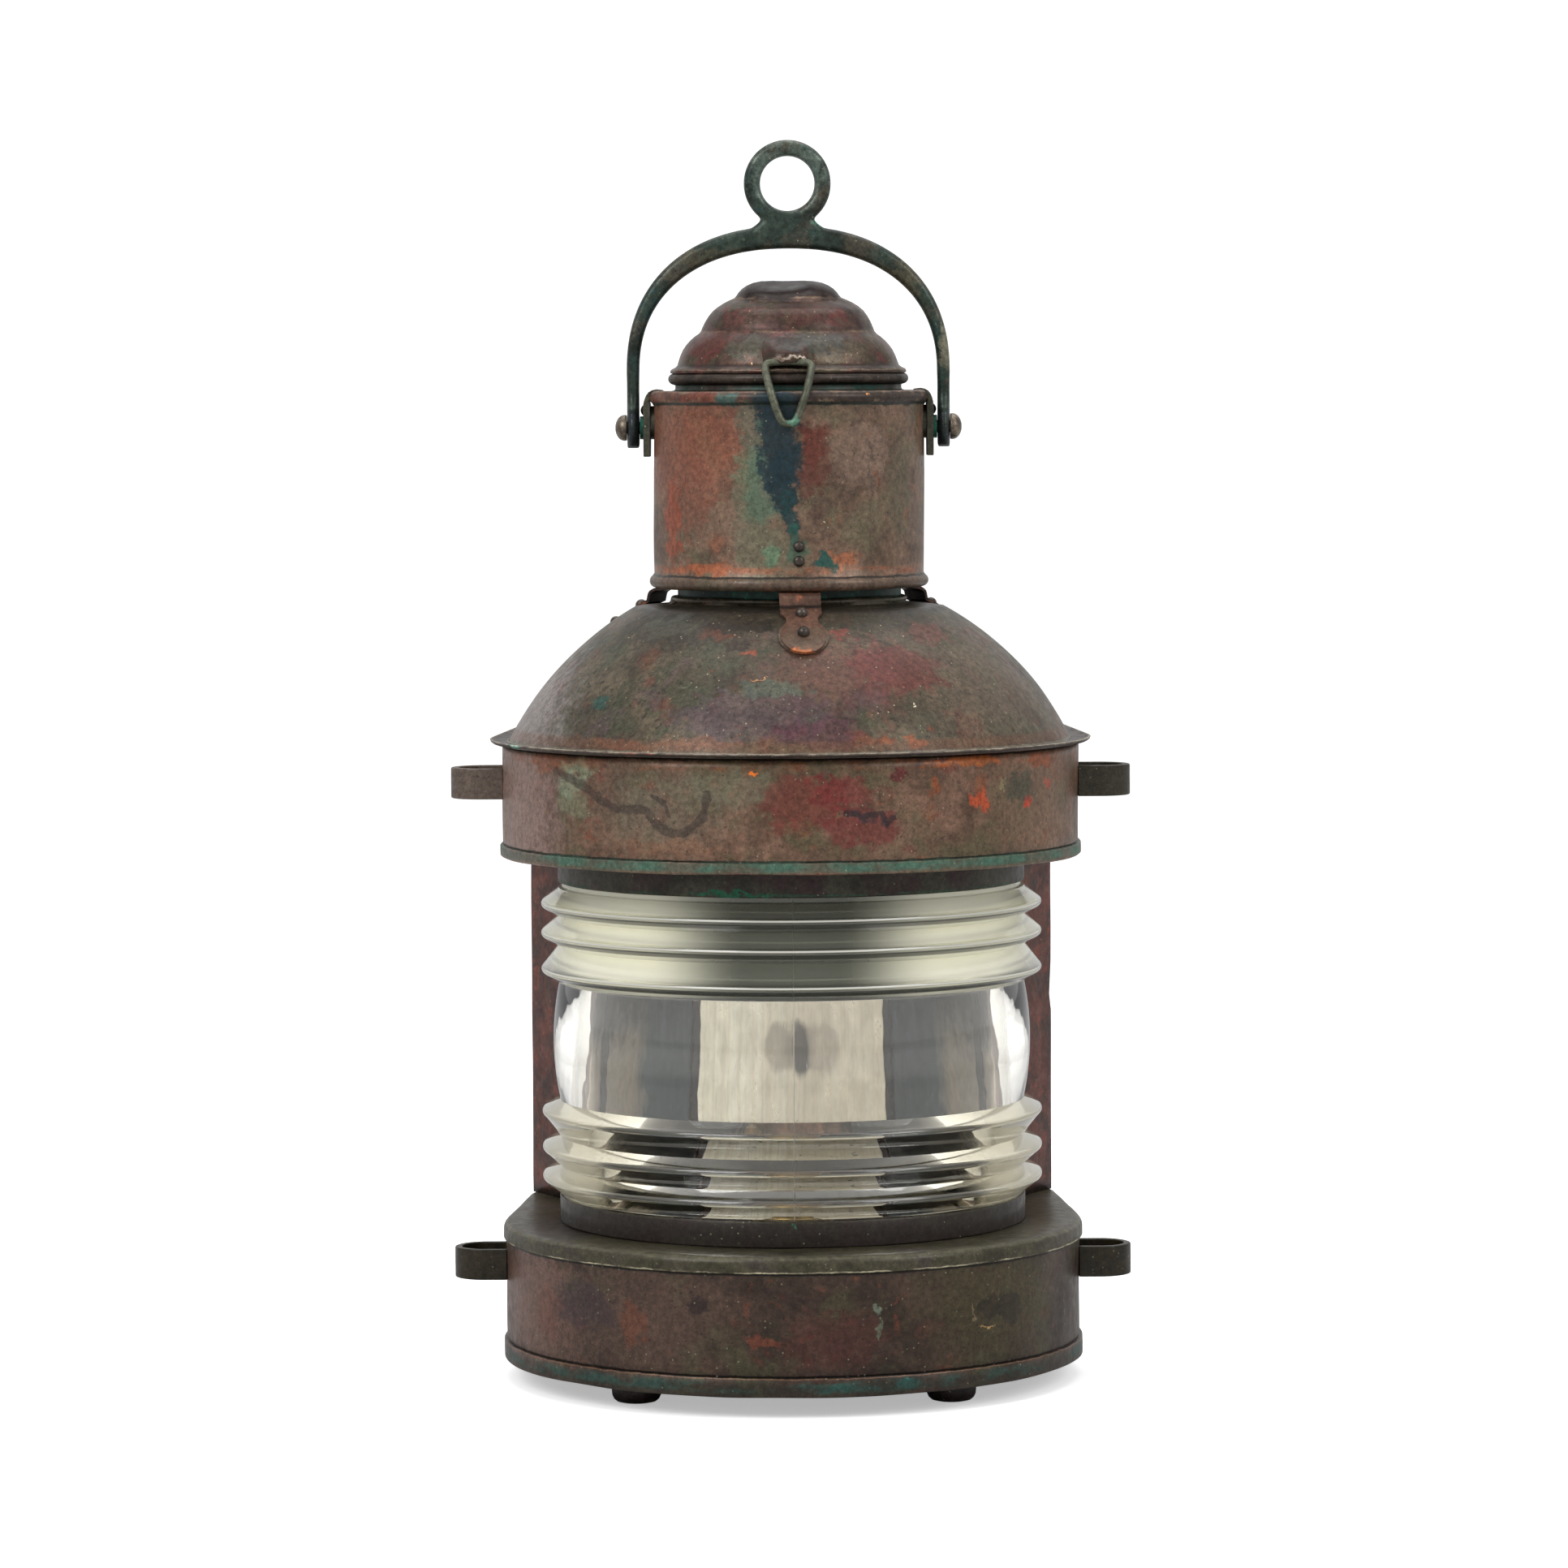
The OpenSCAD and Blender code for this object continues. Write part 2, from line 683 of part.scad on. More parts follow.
module bail_washers() {
    color("seagreen") for (s = [-1, 1]) {
        translate([s * (lug_out_x + washer_t / 2 + touch), 0, z_pivot]) rotate([0, 90, 0])
            difference() {
                cylinder(r = washer_r, h = washer_t, center = true);
                cylinder(r = pivot_r + pin_fit, h = 2 * washer_t, center = true);
            }
    }
}

module bail_screws() {
    color("gray") for (s = [0, 180]) {
        rotate([0, 0, s]) translate([arm_out_x + seat, 0, z_pivot]) rotate([0, 90, 0])
            rivet(arm_out_x + seat - chimney_r - 0.6, screw_head_r, pivot_r);
    }
}

// Arch outline: a square-shouldered curve over straight arms
function arch(half_w, top, n) = [for (i = [0 : n])
    let (t = 180 * i / n, c = cos(t), s = sin(t))
    [half_w * sign(c) * pow(abs(c), 0.88), arm_straight + (top - arm_straight) * pow(s, 0.88)]];

module bail() {
    color("darkslategray") translate([0, 0, z_pivot]) {
        difference() {
            union() {
                rotate([90, 0, 0]) translate([0, 0, -bail_w / 2]) linear_extrude(bail_w) {
                    polygon(concat([[arm_out_x, 0]], arch(arm_out_x, bail_rise, 36),
                        [[-arm_out_x, 0], [-arm_in_x, 0]],
                        [for (i = [36 : -1 : 0]) arch(arm_in_x, bail_rise - crown_t, 36)[i]],
                        [[arm_in_x, 0]]));
                    polygon([[-ring_r * 1.05, bail_rise - 6], [ring_r * 1.05, bail_rise - 6],
                        [ring_r * 0.72, ring_up - ring_r * 0.7],
                        [-ring_r * 0.72, ring_up - ring_r * 0.7]]);
                }
                translate([0, 0, ring_up]) rotate([90, 0, 0])
                    cylinder(r = ring_r, h = bail_w, center = true);
                for (s = [-1, 1]) {
                    translate([s * (arm_in_x + arm_out_x) / 2, 0, 0]) rotate([0, 90, 0])
                        cylinder(r = eye_r, h = arm_t, center = true);
                }
            }
            translate([0, 0, ring_up]) rotate([90, 0, 0])
                cylinder(r = ring_hole_r, h = 2 * bail_w, center = true);
            rotate([0, 90, 0]) cylinder(r = pivot_r + pin_run, h = 3 * body_r, center = true);
        }
    }
}

// Spun cap with three stepped tiers, a flange and the moving hinge knuckle
module cap() {
    outer = concat([[cap_flange_r, 0.3], [cap_flange_r, 1.4], [cap_tiers[2][1] + 0.4, 2.6]],
        tier(cap_tiers[2], 0), tier(cap_tiers[1], 0), tier(cap_tiers[0], 0));
    inner = concat([[cap_neck_r - sheet_t - 1.2, 0.3]], tier(cap_tiers[2], cap_t),
        tier(cap_tiers[1], cap_t), tier(cap_tiers[0], cap_t));
    color("saddlebrown") difference() {
        union() {
            translate([0, 0, z_seat]) rotate_extrude() polygon(concat(outer,
                [[0, cap_h], [0, cap_h - cap_t]],
                [for (i = [len(inner) - 1 : -1 : 0]) inner[i]]));
            translate([-cap_knuckle_l / 2, cap_neck_r, z_seat + 0.3])
                cube([cap_knuckle_l, cap_hinge_y - cap_neck_r, 1.7]);
            translate([0, cap_hinge_y, cap_hinge_z]) rotate([0, 90, 0])
                cylinder(r = cap_knuckle_r, h = cap_knuckle_l, center = true);
        }
        translate([0, cap_hinge_y, cap_hinge_z]) rotate([0, 90, 0])
            cylinder(r = cap_pin_r + pin_run, h = 3 * cap_knuckle_l, center = true);
        translate([-(hasp_half_w + wire_r + 1), -hasp_y - wire_r - 1, hasp_z - wire_r - 0.5])
            cube([2 * (hasp_half_w + wire_r + 1), 2 * wire_r + 4.2, 2 * wire_r + 1]);
    }
}

// Fixed half of the cap hinge, standing on the chimney top behind the neck
module cap_hinge_leaf() {
    x0 = cap_knuckle_l / 2 + run;
    color("darkolivegreen") difference() {
        union() {
            translate([-(x0 + cap_knuckle_l), cap_hinge_y - 3.4, z_top + touch])
                cube([2 * (x0 + cap_knuckle_l), 5.2, 2]);
            for (s = [-1, 1]) {
                translate([s * (x0 + cap_knuckle_l / 2), cap_hinge_y, cap_hinge_z]) {
                    rotate([0, 90, 0]) cylinder(r = cap_knuckle_r, h = cap_knuckle_l, center = true);
                    translate([-cap_knuckle_l / 2, -0.2, z_top - cap_hinge_z + 1])
                        cube([cap_knuckle_l, 2, cap_hinge_z - z_top - 1]);
                }
            }
        }
        translate([0, cap_hinge_y, cap_hinge_z]) rotate([0, 90, 0])
            cylinder(r = cap_pin_r + pin_fit, h = 10 * cap_knuckle_l, center = true);
    }
}

module cap_hinge_pin() {
    color("gray") translate([0, cap_hinge_y, cap_hinge_z]) rotate([0, 90, 0])
        cylinder(r = cap_pin_r, h = 3 * cap_knuckle_l + 2 * run + 2, center = true);
}

// Bridge over the hinge bar of the hasp, riveted to the front of the cap
module hasp_clip() {
    y0 = -hasp_y;
    t = 1.2;
    half = hasp_half_w - wire_r - 1.2;
    mid = wire_r + pin_run + t / 2 + touch;
    color("saddlebrown") translate([-half, 0, 0]) rotate([90, 0, 90]) linear_extrude(2 * half)
        polygon(strip([for (a = [60 : 20 : 240])
            [y0 + mid * cos(a), hasp_z + mid * sin(a)]], t));
}

// Bent wire loop: hinge bar, two legs that clear the beads, and a round bottom
module hasp_wire() {
    knee = [-hasp_out_y, z_top + 0.4];
    z_bend = knee[1] - hasp_l;
    color("olivedrab") {
        rod([-hasp_half_w, -hasp_y, hasp_z], [hasp_half_w, -hasp_y, hasp_z], wire_r);
        for (s = [-1, 1]) {
            a = [s * hasp_half_w, -hasp_y, hasp_z];
            b = [s * (hasp_half_w - 0.6), -hasp_y - wire_r - 2.8, z_seat];
            c = [s * (hasp_half_w - 2.6), knee[0], knee[1]];
            d = [s * hasp_bend_r, knee[0], z_bend];
            for (p = [a, b, c, d]) {
                translate(p) sphere(r = wire_r + touch);
            }
            rod(a, b, wire_r);
            rod(b, c, wire_r);
            rod(c, d, wire_r);
        }
        translate([0, knee[0], z_bend]) rotate([90, 180, 0]) rotate_extrude(angle = 180)
            translate([hasp_bend_r, 0]) circle(r = wire_r);
    }
}

// U-shaped guide eye on one side of the body
module guide_eye(side, z) {
    out_x = body_r + guide_out - guide_r;
    color("darkolivegreen") rotate([0, 0, side > 0 ? 0 : 180]) translate([0, 0, z])
        linear_extrude(guide_h) difference() {
            union() {
                translate([out_x, 0]) circle(r = guide_r);
                translate([body_r - 4, -guide_r]) square([guide_out - guide_r + 4, 2 * guide_r]);
            }
            translate([out_x, 0]) circle(r = guide_r - guide_t);
            translate([body_r - 5, -(guide_r - guide_t)])
                square([guide_out - guide_r + 5, 2 * (guide_r - guide_t)]);
            body_plan(touch);
            mirror([0, 1]) body_plan(touch);
        }
}

module back_door() {
    color("brown") translate([-door_half_w, door_y, z_door0])
        cube([2 * door_half_w, sheet_t, z_door1 - z_door0]);
}

// Bright tray on the inside of the door, behind the flame
module door_reflector() {
    z0 = z_base + 5;
    z1 = z_lintel - 5;
    color("silver") translate([-reflector_half_w, door_y - reflector_d, z0])
        difference() {
            cube([2 * reflector_half_w, reflector_d, z1 - z0]);
            translate([sheet_t, sheet_t, sheet_t])
                cube([2 * reflector_half_w - 2 * sheet_t, reflector_d, z1 - z0 - 2 * sheet_t]);
        }
}

module knuckle_stack(z, offsets) {
    for (i = offsets) {
        translate([hinge_x, hinge_y, z + i * (knuckle_l + run) - knuckle_l / 2])
            cylinder(r = knuckle_r, h = knuckle_l);
    }
}

module hinge_bore(z, r) {
    translate([hinge_x, hinge_y, z - 3 * knuckle_l]) cylinder(r = r, h = 6 * knuckle_l);
}

// Fixed leaf of a door hinge, on the back of the body
module door_hinge(z) {
    color("darkolivegreen") difference() {
        union() {
            knuckle_stack(z, [-1, 1]);
            translate([hinge_x - 18, back_y + touch, z - 1.5 * knuckle_l - run])
                cube([14.6, 1.4, 3 * knuckle_l + 2 * run]);
            for (i = [-1, 1]) {
                translate([hinge_x - 4, back_y + touch, z + i * (knuckle_l + run) - knuckle_l / 2])
                    cube([4, 1.4, knuckle_l]);
            }
        }
        hinge_bore(z, hinge_pin_r + pin_fit);
    }
}

// Moving strap of a door hinge, riveted across the door
module door_strap(z) {
    color("darkolivegreen") difference() {
        union() {
            knuckle_stack(z, [0]);
            translate([hinge_x, door_y + sheet_t + touch, z - knuckle_l / 2])
                cube([door_half_w * 1.1, 1.4, knuckle_l]);
        }
        hinge_bore(z, hinge_pin_r + pin_run);
    }
}

module door_hinge_pins() {
    color("gray") for (z = hinge_zs) {
        translate([hinge_x, hinge_y, z - 1.5 * knuckle_l - run - 1])
            cylinder(r = hinge_pin_r, h = 3 * knuckle_l + 2 * run + 2);
    }
}

// Turn button that laps over the edge of the door when it is turned across
module door_catch() {
    y0 = door_y + sheet_t + run;
    color("darkolivegreen") translate([catch_x, y0 + button_t, catch_z]) rotate([90, 0, 0])
        linear_extrude(button_t) difference() {
            union() {
                translate([-button_w / 2, -button_half_l + button_w / 2])
                    square([button_w, 2 * button_half_l - button_w]);
                for (s = [-1, 1]) {
                    translate([0, s * (button_half_l - button_w / 2)]) circle(r = button_w / 2);
                }
            }
            circle(r = stud_r + pin_run);
        }
}

module catch_stud() {
    y1 = door_y + sheet_t + run;
    color("gray") translate([catch_x, 0, catch_z]) rotate([-90, 0, 0]) {
        translate([0, 0, back_y + 0.02]) cylinder(r = button_w / 2, h = y1 - back_y - 0.12);
        translate([0, 0, back_y + 0.02]) cylinder(r = stud_r, h = y1 + button_t + 0.2 - back_y);
        translate([0, 0, y1 + button_t + 0.12]) cylinder(r = button_w / 2, h = 1.6);
    }
}

// Two rails on the floor that the oil font slides in between
module lamp_rails() {
    color("peru") for (s = [-1, 1]) {
        translate([s * (font_r + rail_t) - rail_t / 2, -font_r, z_floor + sheet_t])
            cube([rail_t, font_r + back_y - 4, 6]);
    }
}

// Spun outline of the font, moved in by off
module font_outline(off) {
    translate([0, 0, z_font]) rotate_extrude() polygon([[0, off], [font_r - 2 - off, off],
        [font_r - off, 2 + off], [font_r - off, font_h - 6 - off / 2],
        [font_r - 3 - off / 2, font_h - off], [0, font_h - off]]);
}

module fuel_font() {
    color("burlywood") difference() {
        union() {
            font_outline(0);
            translate([0, 0, z_font_top - font_wall])
                cylinder(r = neck_in_r + 3, h = neck_up + font_wall);
        }
        font_outline(font_wall);
        translate([0, 0, z_font_top - 3]) cylinder(r = neck_in_r, h = 10);
        translate([filler_x, filler_y, z_font_top - 8]) cylinder(r = filler_r - 2, h = 12);
    }
}

module filler_cap() {
    color("goldenrod") translate([filler_x, filler_y, z_font_top + 2 * touch]) {
        cylinder(r = filler_r, h = 4);
        cylinder(r = filler_r - 2, h = 6);
        translate([0, 0, -2.6]) cylinder(r = filler_r - 2.3, h = 3);
    }
}

// Burner body with its air gallery, bored for the winder shaft
module burner() {
    h = z_burner - z_burner_foot;
    slot = [wick_w + 2 * run, wick_t + 2 * run];
    tube = [wick_w + 2 * tube_wall + 4 * touch, wick_t + 2 * tube_wall + 4 * touch];
    color("goldenrod") translate([0, 0, z_burner_foot]) difference() {
        rotate_extrude() polygon([[0, 0], [burner_foot_r, 0], [burner_foot_r, gallery_z[0]],
            [gallery_r, gallery_z[1]], [gallery_r, gallery_z[2]], [cone_r, gallery_z[3]],
            [cone_r - 2, h - 20], [cone_r, h - 18], [cone_r - 1, h - 8], [cone_r - 8, h],
            [0, h]]);
        translate([-tube[0] / 2, -tube[1] / 2, tube_foot_h]) cube([tube[0], tube[1], h]);
        translate([0, 0, -1]) cylinder(r = neck_in_r, h = gallery_z[0] + 1.6);
        translate([-slot[0] / 2, -slot[1] / 2, 0]) cube([slot[0], slot[1], h]);
        translate([-30, shaft_y, z_shaft - z_burner_foot]) rotate([0, 90, 0])
            cylinder(r = shaft_r + pin_run, h = 60);
    }
}

module wick_tube() {
    z0 = z_burner_foot + tube_foot_h + 2 * touch;
    color("gold") translate([0, 0, z0]) linear_extrude(z_burner + 2 - z0) difference() {
        square([wick_w + 2 * tube_wall, wick_t + 2 * tube_wall], center = true);
        square([wick_w + run, wick_t + run], center = true);
    }
}

module wick() {
    color("ivory") translate([-wick_w / 2, -wick_t / 2, z_wick])
        cube([wick_w, wick_t, z_burner + 3 - z_wick]);
}

module wick_winder() {
    knob_x = gallery_r + 10;
    wheel_w = 3;
    color("goldenrod") translate([0, shaft_y, z_shaft]) rotate([0, 90, 0]) {
        translate([0, 0, -(burner_foot_r + 2)]) cylinder(r = shaft_r, h = burner_foot_r + 6 + knob_x);
        for (x = [-2 * wheel_w, wheel_w]) {
            translate([0, 0, x]) cylinder(r = winder_wheel_r, h = wheel_w);
        }
        translate([0, 0, knob_x]) cylinder(r = wick_knob_r, h = 4);
    }
}

centred() base_pan();
centred() base_cover();
centred() feet();
centred() collar(true);  // lower_collar
centred() collar(false);  // upper_collar
centred() lens();
centred() mirror([1, 0, 0]) post();  // left_post
centred() post();  // right_post
centred() back_casing();
centred() mirror([1, 0, 0]) screen();  // left_screen
centred() screen();  // right_screen
centred() drum();
centred() drum_soffit();
centred() crown_plate();
centred() dome();
centred() dome_back();
centred() flue();
centred() chimney();
centred() chimney_top();
centred() strap(strap_angles[0]);  // front_strap
centred() strap(strap_angles[1]);  // right_strap
centred() strap(strap_angles[2]);  // left_strap
centred() strap_rivets();
centred() lug(-1);  // left_lug
centred() lug(1);  // right_lug
centred() lug_rivets();
centred() bail_washers();
centred() bail_screws();
centred() bail();
centred() cap();
centred() cap_hinge_leaf();
centred() cap_hinge_pin();
centred() hasp_clip();
centred() hasp_wire();
centred() guide_eye(-1, z_drum + guide_up);  // upper_left_eye
centred() guide_eye(1, z_drum + guide_up);  // upper_right_eye
centred() guide_eye(-1, z_rim + guide_low);  // lower_left_eye
centred() guide_eye(1, z_rim + guide_low);  // lower_right_eye
centred() back_door();
centred() door_reflector();
centred() door_hinge(hinge_zs[1]);  // upper_door_hinge
centred() door_hinge(hinge_zs[0]);  // lower_door_hinge
centred() door_strap(hinge_zs[1]);  // upper_door_strap
centred() door_strap(hinge_zs[0]);  // lower_door_strap
centred() door_hinge_pins();
centred() door_catch();
centred() catch_stud();
centred() lamp_rails();
centred() fuel_font();
centred() filler_cap();
centred() burner();
centred() wick_tube();
centred() wick();
centred() wick_winder();
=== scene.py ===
"""A copper masthead lantern with a ribbed glass lens, put together from its base up."""
from math import acos, asin, atan2, cos, pi, radians, sin, sqrt

import bmesh
import bpy
from mathutils import Matrix, Vector, noise


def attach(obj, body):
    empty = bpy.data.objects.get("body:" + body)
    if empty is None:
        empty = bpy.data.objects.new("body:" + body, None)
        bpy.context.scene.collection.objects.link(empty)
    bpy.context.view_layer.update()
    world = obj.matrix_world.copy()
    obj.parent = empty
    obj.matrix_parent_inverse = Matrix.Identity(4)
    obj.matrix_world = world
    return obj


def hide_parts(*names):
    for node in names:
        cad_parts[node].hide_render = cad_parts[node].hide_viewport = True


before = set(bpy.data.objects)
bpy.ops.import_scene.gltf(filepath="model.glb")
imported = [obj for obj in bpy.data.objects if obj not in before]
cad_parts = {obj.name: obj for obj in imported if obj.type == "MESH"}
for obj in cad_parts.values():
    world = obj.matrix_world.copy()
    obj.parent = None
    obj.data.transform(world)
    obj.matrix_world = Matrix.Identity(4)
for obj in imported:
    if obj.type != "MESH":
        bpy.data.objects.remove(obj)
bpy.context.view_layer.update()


# Base pan
# The foot of the lantern is a wall of sheet copper, bent to a D: round in front, tapering a
# little at the sides and flat at the back. A band is pressed round its foot. It is soldered
# to a floor that is pierced with eight air holes, and cut away at the back for the door.
AXIS_Y = 21
BODY_R = 142
BACK_Y = 100
BACK_HALF_W = 133
SHEET = 1.2
BAND = 1.4
Z_RIM = 10.5
Z_FLOOR = 11.5
Z_SILL = 25.5
DOOR_OPEN = 52
SIDE_A = atan2(BACK_Y, BACK_HALF_W) - acos(BODY_R / Vector((BACK_HALF_W, BACK_Y)).length)


def colour(code):
    """A colour written as on a paint card, made linear for the shaders."""
    parts = [int(code[i:i + 2], 16) / 255 for i in (0, 2, 4)]
    return [c / 12.92 if c < 0.04045 else ((c + 0.055) / 1.055) ** 2.4 for c in parts] + [1]


def body_plan():
    """Points of the D and the way out of the wall at each, against the clock from the left."""
    front = [pi - SIDE_A + (pi + 2 * SIDE_A) * i / 150 for i in range(151)]
    plan = [(BODY_R * Vector((cos(a), sin(a))), Vector((cos(a), sin(a)))) for a in front]
    fold_r = 4
    out = Vector((cos(SIDE_A), sin(SIDE_A)))
    corner = Vector((BACK_HALF_W, BACK_Y)) - fold_r * (out + Vector((0, 1))) / (1 + out.y)
    start, end = plan[-1][0], corner + fold_r * out
    half = [(start.lerp(end, i / 12), out) for i in range(1, 12)]
    for i in range(7):
        way = Vector((cos(SIDE_A + (pi / 2 - SIDE_A) * i / 6),
                      sin(SIDE_A + (pi / 2 - SIDE_A) * i / 6)))
        half.append((corner + fold_r * way, way))
    half += [(Vector((x, BACK_Y)), Vector((0, 1))) for x in (113, 94, 80, 67, 52, 39, 26, 13)]
    mirrored = [(Vector((-p.x, p.y)), Vector((-w.x, w.y))) for p, w in reversed(half)]
    return plan + half + [(Vector((0, BACK_Y)), Vector((0, 1)))] + mirrored


PLAN = body_plan()


def on_plan(i, level):
    """The point of the D with number i, moved out of the wall and up to a level (out, z)."""
    point, way = PLAN[i]
    return (*(point + way * level[0]), level[1])


def loft(bm, edges, number, levels, spot):
    """Draws a line of edges on through levels; spot tells where each numbered point goes."""
    for level in levels:
        grown = bmesh.ops.extrude_edge_only(bm, edges=edges)["geom"]
        fresh = {g for g in grown if isinstance(g, bmesh.types.BMVert)}
        edges = [g for g in grown if isinstance(g, bmesh.types.BMEdge)
                 and all(v in fresh for v in g.verts)]
        for v in fresh:
            v.co = spot(v[number], level)
    return edges


def ring(bm, count, first, spot):
    """A ring of numbered points at the first level of a loft."""
    number = bm.verts.layers.int.get("number") or bm.verts.layers.int.new("number")
    verts = bmesh.ops.create_circle(bm, segments=count, radius=1)["verts"]
    for v in verts:
        v[number] = round(atan2(-v.co.x, v.co.y) * count / (2 * pi)) % count
    for v in verts:
        v.co = spot(v[number], first)
    chosen = set(verts)
    return number, [e for e in bm.edges if e.verts[0] in chosen]


def body_wall(levels):
    """A wall that follows the D through levels of (out, z)."""
    bm = bmesh.new()
    number, edges = ring(bm, len(PLAN), levels[0], on_plan)
    loft(bm, edges, number, levels[1:], on_plan)
    return bm


def faces_out(bm, inside=(0, 0, 0)):
    """Turns the faces of a sheet or a solid away from a point inside it."""
    bmesh.ops.remove_doubles(bm, verts=bm.verts, dist=0.001)
    bmesh.ops.recalc_face_normals(bm, faces=bm.faces)
    middle = Vector(inside)
    lean = sum((f.calc_center_median() - middle).dot(f.normal) * f.calc_area()
               for f in bm.faces)
    if lean < 0:
        bmesh.ops.reverse_faces(bm, faces=bm.faces)


def dent(bm, depth, size, seed):
    """Uneven places of an old hammered and handled sheet."""
    bm.normal_update()
    shift = Vector((seed, seed * 1.7, seed * 0.6))
    for v in bm.verts:
        v.co += v.normal * depth * noise.noise(v.co / size + shift)


def piece(name, bm, material, body, nodes=(), sheet=0, broken=0):
    """Makes a piece of a mesh drawn in millimetres about the lens axis."""
    bmesh.ops.translate(bm, vec=(0, AXIS_Y, 0), verts=bm.verts)
    bmesh.ops.scale(bm, vec=(0.001, 0.001, 0.001), verts=bm.verts)
    mesh = bpy.data.meshes.new(name)
    bm.to_mesh(mesh)
    bm.free()
    return placed(name, mesh, material, body, nodes, sheet, broken)


def placed(name, mesh, material, body, nodes, sheet, broken):
    """Gives a mesh its thickness, broken edges, finish and body."""
    mesh.materials.clear()
    mesh.materials.append(material)
    mesh.shade_smooth()
    mesh.set_sharp_from_angle(angle=radians(35))
    made = bpy.data.objects.new(name, mesh)
    bpy.context.scene.collection.objects.link(made)
    if sheet:
        wall = made.modifiers.new("wall", "SOLIDIFY")
        wall.thickness = sheet / 1000
        wall.offset = -1
        wall.use_even_offset = True
    if broken:
        edge = made.modifiers.new("edge", "BEVEL")
        edge.width = broken / 1000
        edge.segments = 2
        edge.limit_method = "ANGLE"
        edge.angle_limit = radians(40)
        edge.harden_normals = True
    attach(made, body)
    if nodes:
        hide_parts(*nodes)
    return made


